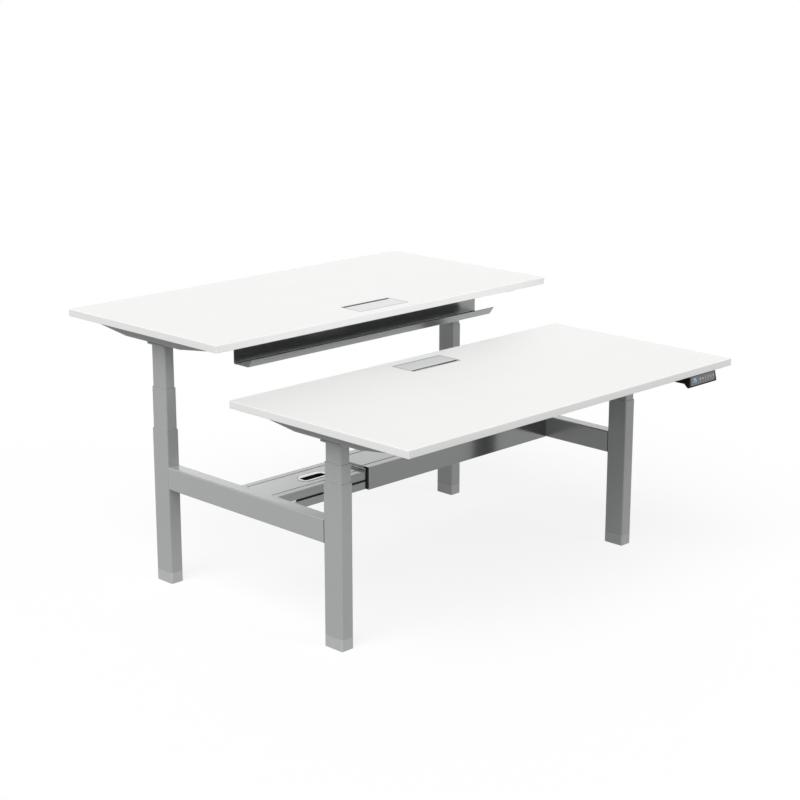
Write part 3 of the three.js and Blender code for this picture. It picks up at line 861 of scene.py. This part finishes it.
def makeBoot(name):
    low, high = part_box(f"{name}_foot_boot")
    top = Vector((high.x, high.y, low.z + boot["blockHeight"]))
    bm = bmesh.new()
    block(bm, low, top)
    rounded(bm, alongAxis(bm.edges, 2), boot["corner"], 6)
    topRim = [e for e in rimEdges(bm, 2) if e.verts[0].co.z > low.z + mm]
    rounded(bm, topRim, boot["topEase"], 2)
    footRim = [e for e in rimEdges(bm, 2) if e.verts[0].co.z < low.z + mm]
    rounded(bm, footRim, boot["footEase"], 2)
    sole = max((f for f in bm.faces if f.normal.z < -0.99), key=lambda f: f.calc_area())
    bmesh.ops.inset_region(bm, faces=[sole], thickness=boot["padInset"], depth=-boot["padDepth"])
    axis = (low + high) / 2
    stem = roundBar((axis.x, axis.y, top.z - mm), (axis.x, axis.y, high.z), boot["stemRadius"], 0.6 * mm)
    body = f"{name}_foot"
    addPiece(f"{name}_boot_block", gathered([bm, stem]), bootPaint, body, "cast_boot", f"{name}_foot_boot")
    padGap = boot["padInset"] + boot["footEase"] + 0.3 * mm
    padLow = low + Vector((padGap, padGap, 0))
    padHigh = Vector((high.x - padGap, high.y - padGap, low.z + boot["padDepth"] - 0.05 * mm))
    pad = roundBox(padLow, padHigh, 3 * mm, 0.5 * mm)
    addPiece(f"{name}_boot_pad", pad, rubberPad, body, "black_plastic")


for name in columns:
    desk = name.split("_")[0]
    makeTube(f"{name}_outer_tube", f"{name}_lower_tube", "base")
    makeTube(f"{name}_mid_tube", f"{name}_middle_tube", f"{name}_mid_stage")
    makeTube(f"{name}_inner_tube", f"{name}_upper_tube", f"{desk}_desk")
    makeGlide(f"{name}_outer_tube", f"{name}_lower_glide", "base")
    makeGlide(f"{name}_mid_tube", f"{name}_middle_glide", f"{name}_mid_stage")
    makeBoot(name)
print("columns made")

# Wings and column heads
wing = {"flat": 290 * mm, "endHeight": 27 * mm, "wall": 2.5 * mm, "bend": 3 * mm, "tip": 11 * mm}
head = {
    "plate": 6 * mm,
    "reach": 52 * mm,
    "heel": 37 * mm,
    "ease": 1 * mm,
    "gear": (40 * mm, 60 * mm, 36 * mm),
    "motorRadius": 17 * mm,
    "motorLength": 95 * mm,
}


def makeWing(name, desk):
    low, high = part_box(f"{name}_wing")
    middle = (low.y + high.y) / 2
    flat = wing["flat"] / 2
    step = high.z + seam - wing["endHeight"]
    side = [
        (low.x, low.y, high.z),
        (low.x, low.y, step),
        (low.x, middle - flat, low.z),
        (low.x, middle + flat, low.z),
        (low.x, high.y, step),
        (low.x, high.y, high.z),
    ]
    bm = drawnOut(side, (high.x - low.x, 0, 0), 0)
    lid = [f for f in bm.faces if f.normal.z > 0.99]
    bmesh.ops.delete(bm, geom=lid, context="FACES_ONLY")
    tips = [e for e in alongAxis(bm.edges, 0) if abs(e.verts[0].co.z - step) < mm]
    rounded(bm, tips, wing["tip"], 5)
    folds = [
        e for e in bm.edges
        if len(e.link_faces) == 2 and any(abs(f.normal.x) > 0.99 for f in e.link_faces)
    ]
    rounded(bm, folds, wing["bend"], 4)
    bmesh.ops.solidify(bm, geom=bm.faces[:], thickness=wing["wall"])
    addPiece(f"{name}_wing_channel", bm, columnPaintWithPaintedLightAndShade, f"{desk}_desk", "painted_steel", f"{name}_wing")


def makeHead(name, desk):
    low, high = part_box(f"{name}_drive_unit")
    axis = middleOf(f"{name}_outer_tube")
    way = 1 if middleOf(f"{name}_wing").y > axis.y else -1
    ends = sorted((axis.y - way * head["heel"], axis.y + way * head["reach"]))
    plateTop = low.z + head["plate"]
    plate = roundBox((low.x, ends[0], low.z), (high.x, ends[1], plateTop), 2 * mm, head["ease"])
    gearSize = Vector(head["gear"])
    gearLow = Vector((axis.x - gearSize.x / 2, axis.y - gearSize.y / 2, plateTop - 0.2 * mm))
    gear = roundBox(gearLow, gearLow + gearSize, 4 * mm, 1.5 * mm)
    motorZ = plateTop + wing["wall"] + 2 * seam + head["motorRadius"]
    motorStart = axis.y + way * (gearSize.y / 2 - 5 * mm)
    motorEnd = motorStart + way * head["motorLength"]
    motor = roundBar((axis.x, motorStart, motorZ), (axis.x, motorEnd, motorZ), head["motorRadius"], 2 * mm, 32)
    whole = gathered([plate, gear, motor])
    addPiece(f"{name}_head", whole, driveCasing, f"{desk}_desk", "drive_casing", f"{name}_drive_unit")


for name in columns:
    desk = name.split("_")[0]
    makeWing(name, desk)
    makeHead(name, desk)
print("wings and column heads made")

# Cross beams and rails
beam = {"corner": 5 * mm, "wall": 2 * mm, "endEase": 0.8 * mm}
rail = {"corner": 2.5 * mm, "wall": 1.8 * mm, "flange": 3 * mm, "flangeWidth": 72 * mm, "flangeHeight": 38 * mm}


def makeBeam(side):
    low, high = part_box(f"{side}_cross_beam")
    bm = boxTube(low, high, beam["corner"], beam["wall"], 1)
    rounded(bm, rimEdges(bm, 1), beam["endEase"], 2)
    addPiece(f"{side}_beam", bm, silverPaint, "base", "painted_steel", f"{side}_cross_beam")


def makeRail(desk, word):
    low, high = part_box(f"front_{word}")
    shapes = [boxTube(low, high, rail["corner"], rail["wall"], 0)]
    middle = (low.y + high.y) / 2
    half = rail["flangeWidth"] / 2
    screws = []
    for way, end in ((1, low.x), (-1, high.x)):
        inner = end + way * rail["flange"]
        flangeLow = Vector((min(end, inner), middle - half, underside - seam - rail["flangeHeight"]))
        flangeHigh = Vector((max(end, inner), middle + half, underside - seam))
        shapes.append(roundBox(flangeLow, flangeHigh, 4 * mm, 0.5 * mm, axis=0))
        for shift in (-1, 1):
            seat = (inner, middle + shift * (half - 8 * mm), underside - rail["flangeHeight"] / 2)
            screws.append(screwHead(seat, (way, 0, 0)))
    body = f"{desk}_desk"
    tube = onDesk(gathered(shapes), desk)
    addPiece(f"{desk}_{word}_tube", tube, silverPaint, body, "painted_steel", f"{desk}_{word}")
    addPiece(f"{desk}_{word}_screws", onDesk(gathered(screws), desk), zincSteel, body, "screw_steel")


for side in sides:
    makeBeam(side)
for desk in desks:
    makeRail(desk, "inner_rail")
    makeRail(desk, "user_rail")
print("beams and rails made")

# Cable trough: channel, sleeve, lids and slot linings
channel = {
    "ease": 0.5 * mm,
    "troughWall": 8 * mm,
    "troughFloor": 3 * mm,
    "sleeveWall": 4 * mm,
    "lidWidth": 129 * mm,
    "lidThickness": 3 * mm,
    "ledgeBearing": 9 * mm,
    "ledge": 5 * mm,
    "grooveRise": 26.5 * mm,
    "grooveHeight": 8 * mm,
    "grooveDepth": 3.5 * mm,
}
lidSlot = {
    "length": 118 * mm,
    "width": 54 * mm,
    "skirtWall": 2 * mm,
    "rimEase": 0.4 * mm,
    "lipWall": 5 * mm,
    "lipHeight": 4.4 * mm,
    "lipRound": 3.4 * mm,
    "lipGap": 0.1 * mm,
}
grooveStrip = {"clampEnd": -576 * mm, "height": 7.8 * mm, "thickness": 3.3 * mm, "ease": 0.2 * mm}
mouth = {
    "overhang": 9.5 * mm,
    "guideTop": 4 * mm,
    "capWidth": 21 * mm,
    "capTop": 0.8 * mm,
    "capHeight": 5.5 * mm,
    "capThickness": 1.5 * mm,
    "barTop": 0.4 * mm,
    "barHeight": 3.8 * mm,
    "plateTop": 6.4 * mm,
    "plateGap": 1 * mm,
    "ease": 0.5 * mm,
}


def channelOutline(low, high, wall, floor, grooved):
    half = high.y
    lidHalf = channel["lidWidth"] / 2
    ledgeTop = high.z - channel["lidThickness"] - seam
    ledgeFoot = ledgeTop - channel["ledge"]
    right = [(half, low.z)]
    if grooved:
        grooveFoot = low.z + channel["grooveRise"]
        grooveTop = grooveFoot + channel["grooveHeight"]
        back = half - channel["grooveDepth"]
        right += [(half, grooveFoot), (back, grooveFoot), (back, grooveTop), (half, grooveTop)]
    tip = lidHalf - channel["ledgeBearing"]
    right += [(half, high.z), (lidHalf, high.z), (lidHalf, ledgeTop), (tip, ledgeTop), (tip, ledgeFoot)]
    right += [(half - wall, ledgeFoot), (half - wall, low.z + floor)]
    both = right + [(-y, z) for y, z in reversed(right)]
    return [(low.x, y, z) for y, z in both]


def makeChannel(node, name, finish, slotName, wall, floor, grooved):
    low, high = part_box(node)
    outline = channelOutline(low, high, wall, floor, grooved)
    bm = drawnOut(outline, (high.x - low.x, 0, 0), channel["ease"])
    addPiece(name, bm, finish, "base", slotName, node)


def makeLid(node, lining, name, finish, slotName):
    low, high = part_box(node)
    bm = roundBox(low, high, 0.4 * mm, 0.3 * mm, segments=2)
    middle = middleOf(lining)
    reach = Vector((lidSlot["length"], lidSlot["width"])) / 2
    slotLow, slotHigh = middle.xy - reach, middle.xy + reach
    plainWindow(bm, slotLow, slotHigh, reach.y - 0.1 * mm, 16)
    addPiece(name, bm, finish, "base", slotName, node)


def slotRing(low, high, wall, ease):
    # ring with round ends
    bm = roundBox(low, high, (high.y - low.y) / 2 - 0.05 * mm, ease, segments=16)
    inner = Vector((wall, wall))
    plainWindow(bm, low.xy + inner, high.xy - inner, (high.y - low.y) / 2 - wall - 0.1 * mm, 16)
    return bm


def makeLining(node, lid, name):
    low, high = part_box(node)
    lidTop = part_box(lid)[1].z
    rimLow = Vector((low.x, low.y, lidTop + seam))
    skirtReach = Vector((lidSlot["length"] / 2 - seam, lidSlot["width"] / 2 - seam, 0))
    middle = (low + high) / 2
    skirtLow = Vector((middle.x, middle.y, low.z)) - skirtReach
    skirtHigh = Vector((middle.x, middle.y, high.z)) + skirtReach
    rimWall = skirtLow.x - low.x + lidSlot["skirtWall"] / 2
    rim = slotRing(rimLow, high, rimWall, lidSlot["rimEase"])
    skirtTop = Vector((skirtHigh.x, skirtHigh.y, high.z - lidSlot["lipHeight"] - lidSlot["lipGap"]))
    skirt = slotRing(skirtLow, skirtTop, lidSlot["skirtWall"], lidSlot["lipGap"])
    # round lip inside the ring that leads cables in
    gap = Vector((lidSlot["lipGap"], lidSlot["lipGap"], 0))
    lipLow = Vector((skirtLow.x, skirtLow.y, high.z - lidSlot["lipHeight"])) + gap
    lipHigh = skirtHigh - gap
    lip = slotRing(lipLow, lipHigh, lidSlot["lipWall"], 0)
    inside = (lipHigh - lipLow) / 2 - Vector((1, 1, 0)) * (lidSlot["lipWall"] - 0.1 * mm)
    mouthEdges = []
    for edge in rimEdges(lip, 2):
        out = (edge.verts[0].co + edge.verts[1].co) / 2 - middle
        if out.z > 0 and abs(out.x) < inside.x and abs(out.y) < inside.y:
            mouthEdges.append(edge)
    rounded(lip, mouthEdges, lidSlot["lipRound"], 4)
    # the lip takes the glowing finish, painted light on the slot's inner lip
    for face in lip.faces:
        face.material_index = 1
    addPiece(name, gathered([rim, skirt, lip]), [paleLining, paintedGlowLip], "base", "grey_plastic", node)


def makeGrooveStrips():
    # pale clamping strips in the trough's side grooves at the left cross beam, then black cover strips
    low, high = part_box("trough_profile")
    foot = low.z + channel["grooveRise"] + (channel["grooveHeight"] - grooveStrip["height"]) / 2
    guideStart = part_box("trough_sleeve")[0].x - mouth["overhang"]
    runs = {
        "groove_clamps": (low.x, grooveStrip["clampEnd"], paleLining, "grey_plastic"),
        "groove_covers": (grooveStrip["clampEnd"] + seam, guideStart - seam, blackPlastic, "black_plastic"),
    }
    for name, (start, end, finish, slotName) in runs.items():
        shapes = []
        for way in (-1, 1):
            inner = way * (high.y - channel["grooveDepth"] + 0.1 * mm)
            outer = inner + way * grooveStrip["thickness"]
            stripLow = (start, min(inner, outer), foot)
            stripHigh = (end, max(inner, outer), foot + grooveStrip["height"])
            ease = grooveStrip["ease"]
            shapes.append(roundBox(stripLow, stripHigh, ease, ease, axis=0, segments=2))
        addPiece(name, gathered(shapes), finish, "base", slotName)


def makeMouth():
    # black guides beside the trough and caps above them
    sleeveLow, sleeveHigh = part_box("trough_sleeve")
    troughLow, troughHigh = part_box("trough_profile")
    end = sleeveLow.x - 0.2 * mm
    ease = mouth["ease"]
    shapes = []
    for way in (-1, 1):
        inner = way * (troughHigh.y + 0.2 * mm)
        outer = way * (sleeveHigh.y - 0.4 * mm)
        guideLow = (sleeveLow.x - mouth["overhang"], min(inner, outer), troughLow.z + mm)
        guideHigh = (end, max(inner, outer), sleeveHigh.z - mouth["guideTop"])
        shapes.append(roundBox(guideLow, guideHigh, ease, ease, axis=0, segments=2))
        capInner = outer - way * mouth["capWidth"]
        capTop = sleeveHigh.z - mouth["capTop"]
        capLow = (end - mouth["capThickness"], min(capInner, outer), capTop - mouth["capHeight"])
        capHigh = (end, max(capInner, outer), capTop)
        shapes.append(roundBox(capLow, capHigh, ease, ease, axis=0, segments=2))
    addPiece("sleeve_guides", gathered(shapes), blackPlastic, "base", "black_plastic")

    # bar across the lid's end and a plate under it, with a dark joint between them; both take the near-white lining
    # plastic, painted light that lifts an end which sits in shade
    front = end - mouth["capThickness"]
    half = sleeveHigh.y - mouth["capWidth"] - mm
    barTop = sleeveHigh.z - mouth["barTop"]
    barLow = (front, -half, barTop - mouth["barHeight"])
    bar = roundBox(barLow, (end, half, barTop), ease, ease, axis=0, segments=2)
    wide = troughHigh.y
    plateLow = (front, -wide, troughHigh.z + mouth["plateGap"])
    plateHigh = (end, wide, sleeveHigh.z - mouth["plateTop"])
    plate = roundBox(plateLow, plateHigh, ease, ease, axis=0, segments=2)
    addPiece("sleeve_mouth_trim", gathered([bar, plate]), paleLining, "base", "grey_plastic")


makeChannel(
    "trough_profile", "trough_channel", drawnAluminium, "anodised_aluminium",
    channel["troughWall"], channel["troughFloor"], True,
)
makeChannel(
    "trough_sleeve", "sleeve_channel", sleevePaint, "painted_aluminium",
    channel["sleeveWall"], channel["sleeveWall"], False,
)
makeLid("trough_lid", "trough_grommet", "trough_cover", lidAluminium, "anodised_aluminium")
makeLid("sleeve_lid", "sleeve_grommet", "sleeve_cover", sleevePaint, "painted_aluminium")
makeLining("trough_grommet", "trough_lid", "trough_slot_lining")
makeLining("sleeve_grommet", "sleeve_lid", "sleeve_slot_lining")
makeGrooveStrips()
makeMouth()
print("cable trough made")

# Brackets inside the trough
bracket = {"thickness": 4 * mm, "bend": 5 * mm}


def makeBracket(side):
    low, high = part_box(f"{side}_trough_bracket")
    outer, inner = (low.x, high.x) if side == "left" else (high.x, low.x)
    line = [(outer, low.y, high.z), (outer, low.y, low.z), (inner, low.y, low.z)]
    bm = foldedSheet(line, (0, high.y - low.y, 0), bracket["thickness"], bracket["bend"])
    addPiece(f"{side}_bracket_angle", bm, zincSteel, "base", "screw_steel", f"{side}_trough_bracket")


for side in sides:
    makeBracket(side)
print("brackets made")

# Cable trays
tray = {
    "sheet": 2 * mm,
    "bend": 3 * mm,
    "flange": 35 * mm,
    "depth": 73 * mm,
    "lipReach": 21 * mm,
    "lipRise": 28 * mm,
    "screwCount": 5,
    "screwMargin": 90 * mm,
}


def makeTray(desk):
    low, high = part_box("front_cable_tray")
    wall = low.y + tray["flange"]
    flangeFoot = underside - seam - tray["sheet"]
    tip = wall + tray["depth"] + tray["lipReach"]
    line = [
        (low.x, low.y, flangeFoot),
        (low.x, wall, flangeFoot),
        (low.x, wall, low.z),
        (low.x, wall + tray["depth"], low.z),
        (low.x, tip, low.z + tray["lipRise"]),
    ]
    bm = foldedSheet(line, (high.x - low.x, 0, 0), tray["sheet"], tray["bend"])
    body = f"{desk}_desk"
    addPiece(f"{desk}_tray_sheet", onDesk(bm, desk), trayPaintWithPaintedShade, body, "painted_steel", f"{desk}_cable_tray")
    screws = []
    span = high.x - low.x - 2 * tray["screwMargin"]
    for count in range(tray["screwCount"]):
        x = low.x + tray["screwMargin"] + span * count / (tray["screwCount"] - 1)
        screws.append(screwHead((x, low.y + tray["flange"] / 2, flangeFoot), (0, 0, -1)))
    addPiece(f"{desk}_tray_screws", onDesk(gathered(screws), desk), zincSteel, body, "screw_steel")


for desk in desks:
    makeTray(desk)
print("cable trays made")

# Cable ports
port = {
    "corner": 4 * mm,
    "flange": 3 * mm,
    "rim": 3.3 * mm,
    "wall": 2.2 * mm,
    "ledge": 6 * mm,
    "pocket": 4.3 * mm,
    "ease": 0.5 * mm,
    "flapEase": 0.5 * mm,
    "pinRadius": 1.2 * mm,
    "pinLength": 3 * mm,
    "seal": 0.9 * mm,
    "sealDrop": 0.3 * mm,
    "sealInset": 1 * mm,
}


def makePort(desk):
    low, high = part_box("front_port_frame")
    top = high.z
    edge = Vector((port["rim"], port["rim"]))
    pocketEdge = edge + Vector((port["wall"], port["wall"]))
    pocket = low.xy + pocketEdge, high.xy - pocketEdge
    flange = roundBox((low.x, low.y, top - port["flange"]), high, port["corner"], port["ease"], segments=4)
    plainWindow(flange, *pocket, 0.8 * mm, 3)
    skirtHigh = Vector((high.x - edge.x, high.y - edge.y, top - port["flange"]))
    skirt = roundBox((low.x + edge.x, low.y + edge.y, low.z), skirtHigh, 1.5 * mm, 0.2 * mm, segments=3)
    well = pocket[0] + Vector((port["ledge"], 0)), pocket[1] - Vector((port["ledge"], port["ledge"]))
    drop = port["pocket"] - port["flange"]
    steppedWindow(skirt, pocket, well, drop, skirtHigh.z - low.z)
    frameParts = onDesk(gathered([flange, skirt]), desk)
    nodes = f"{desk}_port_frame"
    addPiece(f"{desk}_port_surround", frameParts, portTrimWithPaintedShade, f"{desk}_desk", "anodised_aluminium", nodes)

    # dark strip along the slot's outer wall
    sealLow = (pocket[0].x + port["sealInset"], pocket[0].y + 0.05 * mm, top - port["pocket"])
    sealHigh = (pocket[1].x - port["sealInset"], pocket[0].y + port["seal"], top - port["sealDrop"])
    seal = onDesk(roundBox(sealLow, sealHigh, 0.2 * mm, 0.2 * mm, axis=0, segments=2), desk)
    addPiece(f"{desk}_port_seal", seal, darkMoulding, f"{desk}_desk", "black_plastic")

    flapLow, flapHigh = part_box("front_port_flap")
    pin = port["pinLength"] / 2
    plateLow = Vector((flapLow.x + pin, flapLow.y, flapLow.z))
    plateHigh = Vector((flapHigh.x - pin, flapHigh.y, flapHigh.z))
    bm = bmesh.new()
    block(bm, plateLow, plateHigh)
    along = alongAxis(bm.edges, 0)
    radius = (plateHigh.z - plateLow.z) / 2
    rounded(bm, [e for e in along if e.verts[0].co.y > plateHigh.y - mm], radius - 0.05 * mm, 6)
    along = [e for e in alongAxis(bm.edges, 0) if e.verts[0].co.y < plateLow.y + mm]
    rounded(bm, along, port["flapEase"], 2)
    shapes = [bm]
    hinge = (plateHigh.y - radius, plateHigh.z - radius)
    for start, end in ((flapLow.x, plateLow.x + mm), (plateHigh.x - mm, flapHigh.x)):
        shapes.append(roundBar((start, *hinge), (end, *hinge), port["pinRadius"], 0.2 * mm, 16))
    flap = onDesk(gathered(shapes), desk)
    nodes = f"{desk}_port_flap"
    addPiece(f"{desk}_port_cover", flap, satinAluminium, f"{desk}_flap", "anodised_aluminium", nodes)

    # dark strip along the flap's free edge
    stripLow = (plateLow.x + port["sealInset"], plateLow.y - port["seal"], plateLow.z + port["sealDrop"])
    stripHigh = (plateHigh.x - port["sealInset"], plateLow.y + 0.05 * mm, plateHigh.z - port["sealDrop"])
    strip = onDesk(roundBox(stripLow, stripHigh, 0.2 * mm, 0.2 * mm, axis=0, segments=2), desk)
    addPiece(f"{desk}_port_strip", strip, darkMoulding, f"{desk}_flap", "black_plastic")


for desk in desks:
    makePort(desk)
print("cable ports made")

# Control boxes
control = {
    "corner": 8 * mm,
    "ease": 2.5 * mm,
    "bay": (200 * mm, 14 * mm, 9 * mm),
    "sockets": 6,
    "socketWidth": 22 * mm,
    "ribs": 9,
    "ribLength": 70 * mm,
    "ribWidth": 2.4 * mm,
    "ribHeight": 1.4 * mm,
    "ribSpacing": 7 * mm,
}


def makeControlBox(desk):
    low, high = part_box("front_control_box")
    middle = (low + high) / 2
    length, tall, deep = control["bay"]
    shapes = []
    # the case is made lying with its socket side up, then turned to face the desks' middle
    case = roundBox((low.x, -high.z, low.y), (high.x, -low.z, high.y), control["corner"], 0, axis=1, segments=6)
    footRim = [e for e in rimEdges(case, 1) if e.verts[0].co.y > -low.z - mm]
    rounded(case, footRim, control["ease"], 4)
    bayLow = (middle.x - length / 2, -middle.z - tall / 2)
    bayHigh = (middle.x + length / 2, -middle.z + tall / 2)
    bayFloor = rimMoved(case, windowIn(case, 1, bayLow, bayHigh), -deep)
    bmesh.ops.edgeloop_fill(case, edges=bayFloor)
    bmesh.ops.rotate(case, verts=case.verts, matrix=Matrix.Rotation(-math.pi / 2, 3, "X"))
    shapes.append(case)
    first = middle.x - control["ribSpacing"] * (control["ribs"] - 1) / 2
    for count in range(control["ribs"]):
        x = first + count * control["ribSpacing"]
        half = control["ribWidth"] / 2
        ribLow = (x - half, middle.y - control["ribLength"] / 2, low.z - control["ribHeight"])
        ribHigh = (x + half, middle.y + control["ribLength"] / 2, low.z + 0.2 * mm)
        shapes.append(roundBox(ribLow, ribHigh, 1.1 * mm, 0.5 * mm, segments=4))
    body = f"{desk}_desk"
    whole = onDesk(gathered(shapes), desk)
    addPiece(f"{desk}_control_case", whole, blackPlastic, body, "black_plastic", f"{desk}_control_box")

    sockets = []
    pitch = length / control["sockets"]
    for count in range(control["sockets"]):
        x = middle.x - length / 2 + pitch * (count + 0.5)
        half = control["socketWidth"] / 2
        socketLow = Vector((x - half, high.y - deep - 0.2 * mm, middle.z - tall / 2 + mm))
        socketHigh = Vector((x + half, high.y - 1.5 * mm, middle.z + tall / 2 - mm))
        bm = roundBox(socketLow, socketHigh, 1.2 * mm, 0.4 * mm, axis=1, segments=3)
        mouth = max((f for f in bm.faces if f.normal.y > 0.99), key=lambda f: f.calc_area())
        bmesh.ops.inset_region(bm, faces=[mouth], thickness=1.6 * mm)
        bmesh.ops.translate(bm, verts=mouth.verts, vec=(0, -5 * mm, 0))
        sockets.append(bm)
    addPiece(f"{desk}_control_sockets", onDesk(gathered(sockets), desk), darkMoulding, body, "black_plastic")


for desk in desks:
    makeControlBox(desk)
print("control boxes made")

# Handsets
handset = {
    "topWidth": 146 * mm,
    "footWidth": 160 * mm,
    "height": 40 * mm,
    "bodyHeight": 28 * mm,
    "lean": 3.5 * mm,
    "setback": 1.5 * mm,
    "nose": 24 * mm,
    "chin": 7 * mm,
    "ease": 0.8 * mm,
    "panelHeight": 31 * mm,
    "panelProud": 0.3 * mm,
    "panelSunk": 0.7 * mm,
}
keypad = {
    "panelCorner": 2 * mm,
    "displayWidth": 40 * mm,
    "displayHeight": 22 * mm,
    "displayX": -45 * mm,
    "digitSize": 19 * mm,
    "markRow": 1 * mm,
    "markStart": -14 * mm,
    "markSpacing": 15 * mm,
    "markSize": 9 * mm,
    "figureScale": 1.25,
    "heights": {"front": "75", "rear": "92"},
    "bolder": 0.2 * mm,
    "proud": 0.08 * mm,
}


def handsetX(desk):
    # distance of a handset's middle from the bench's middle
    return abs(middleOf(f"{desk}_handset_body").x)


def facePlace(desk):
    # matrix that puts flat work on the handset's sloping face: X across, Z up it, -Y out of it
    foot = handset["height"] - handset["lean"]
    tilt = -math.atan2(handset["lean"], foot - seam)
    y = userEdge + handset["setback"] + handset["lean"] / 2
    z = underside - (foot + seam) / 2
    return Matrix.Translation((handsetX(desk), y, z)) @ Matrix.Rotation(tilt, 4, "X")


def writtenText(words, size, thickness):
    # text as a mesh that stands upright in XZ, centred
    curve = bpy.data.curves.new("text", "FONT")
    curve.body = words
    curve.size = size
    curve.align_x = "CENTER"
    curve.align_y = "CENTER"
    curve.extrude = thickness / 2
    curve.offset = keypad["bolder"]
    holder = bpy.data.objects.new("text", curve)
    bpy.context.scene.collection.objects.link(holder)
    bpy.context.view_layer.update()
    mesh = bpy.data.meshes.new_from_object(holder.evaluated_get(bpy.context.evaluated_depsgraph_get()))
    bm = bmesh.new()
    bm.from_mesh(mesh)
    bmesh.ops.remove_doubles(bm, verts=bm.verts, dist=0.001 * mm)
    bmesh.ops.rotate(bm, verts=bm.verts, matrix=Matrix.Rotation(math.pi / 2, 3, "X"))
    bpy.data.objects.remove(holder)
    bpy.data.curves.remove(curve)
    bpy.data.meshes.remove(mesh)
    return bm


def arrowMark(size, way, thickness):
    # triangle that points up or down the face
    bm = bmesh.new()
    bmesh.ops.create_circle(bm, cap_ends=True, segments=3, radius=size / 2)
    grown = bmesh.ops.extrude_face_region(bm, geom=bm.faces[:])["geom"]
    moved = [g for g in grown if isinstance(g, bmesh.types.BMVert)]
    bmesh.ops.translate(bm, verts=moved, vec=(0, 0, thickness))
    turn = Matrix.Rotation(math.pi / 2, 3, "X") @ Matrix.Rotation(0 if way > 0 else math.pi, 3, "Z")
    bmesh.ops.rotate(bm, verts=bm.verts, matrix=turn)
    return bm


def onFace(bm, desk, x=0, z=0, out=0):
    place = deskPlace[desk] @ facePlace(desk) @ Matrix.Translation((x, -out, z))
    bmesh.ops.transform(bm, matrix=place, verts=bm.verts)
    return bm


def makeHandset(desk):
    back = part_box("front_handset_body")[1].y
    panelLow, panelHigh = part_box("front_handset_panel")
    middle = handsetX(desk)
    face = userEdge + handset["setback"]
    foot = underside - handset["height"]
    wide = handset["footWidth"] / 2
    side = [
        (face + handset["lean"], underside - seam),
        (face, foot + handset["lean"]),
        (face + handset["lean"] / 2, foot),
        (face + handset["chin"], foot),
        (userEdge + handset["nose"], underside - handset["bodyHeight"]),
        (back, underside - handset["bodyHeight"]),
        (back, underside - seam),
    ]
    bm = drawnOut([(middle - wide, y, z) for y, z in side], (2 * wide, 0, 0), 0)
    for vert in bm.verts:
        share = (underside - seam - vert.co.z) / (handset["height"] - seam)
        width = handset["topWidth"] + (handset["footWidth"] - handset["topWidth"]) * share
        vert.co.x = middle + (vert.co.x - middle) * width / handset["footWidth"]
    bm.normal_update()
    lidEdges = {e for f in bm.faces if f.normal.z > 0.99 for e in f.edges}
    corners = [e for e in bm.edges if e not in lidEdges and e.calc_face_angle(0) > math.radians(30)]
    rounded(bm, corners, handset["ease"], 3)
    body = f"{desk}_desk"
    addPiece(f"{desk}_handset_case", onDesk(bm, desk), blackPlastic, body, "black_plastic", f"{desk}_handset_body")

    panelWide = (panelHigh.x - panelLow.x) / 2
    panelTall = handset["panelHeight"] / 2
    panelRange = (
        (-panelWide, -handset["panelProud"], -panelTall),
        (panelWide, handset["panelSunk"], panelTall),
    )
    panel = roundBox(*panelRange, keypad["panelCorner"], 0.15 * mm, axis=1)
    addPiece(f"{desk}_handset_face", onFace(panel, desk), panelFilm, body, "panel_film", f"{desk}_handset_panel")

    halfWide, halfTall = keypad["displayWidth"] / 2, keypad["displayHeight"] / 2
    display = roundBox((-halfWide, -0.1 * mm, -halfTall), (halfWide, 0.1 * mm, halfTall), 1 * mm, 0.05 * mm, axis=1)
    onFace(display, desk, keypad["displayX"], 0, 0.3 * mm)
    addPiece(f"{desk}_handset_display", display, displayGlass, body, "panel_film")
    digits = writtenText(keypad["heights"][desk], keypad["digitSize"], keypad["proud"])
    onFace(digits, desk, keypad["displayX"], 0, 0.42 * mm)
    addPiece(f"{desk}_handset_digits", digits, displayDigits, body, "panel_film")

    marks = []
    for count, mark in enumerate(("up", "down", "1", "2", "3", "4")):
        x = keypad["markStart"] + count * keypad["markSpacing"]
        if mark in ("up", "down"):
            shape = arrowMark(keypad["markSize"], 1 if mark == "up" else -1, keypad["proud"])
        else:
            shape = writtenText(mark, keypad["markSize"] * keypad["figureScale"], keypad["proud"])
        marks.append(onFace(shape, desk, x, keypad["markRow"], 0.32 * mm))
    addPiece(f"{desk}_handset_marks", gathered(marks), printedMarks, body, "panel_film")


for desk in desks:
    makeHandset(desk)
print("handsets made")

# Spindles and drive tubes keep their own solids and get a turned finish
for name in columns:
    for word in ("spindle", "drive_tube"):
        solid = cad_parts[f"{name}_{word}"]
        solid.data.materials.clear()
        solid.data.materials.append(turnedSteel)
print("drives finished")
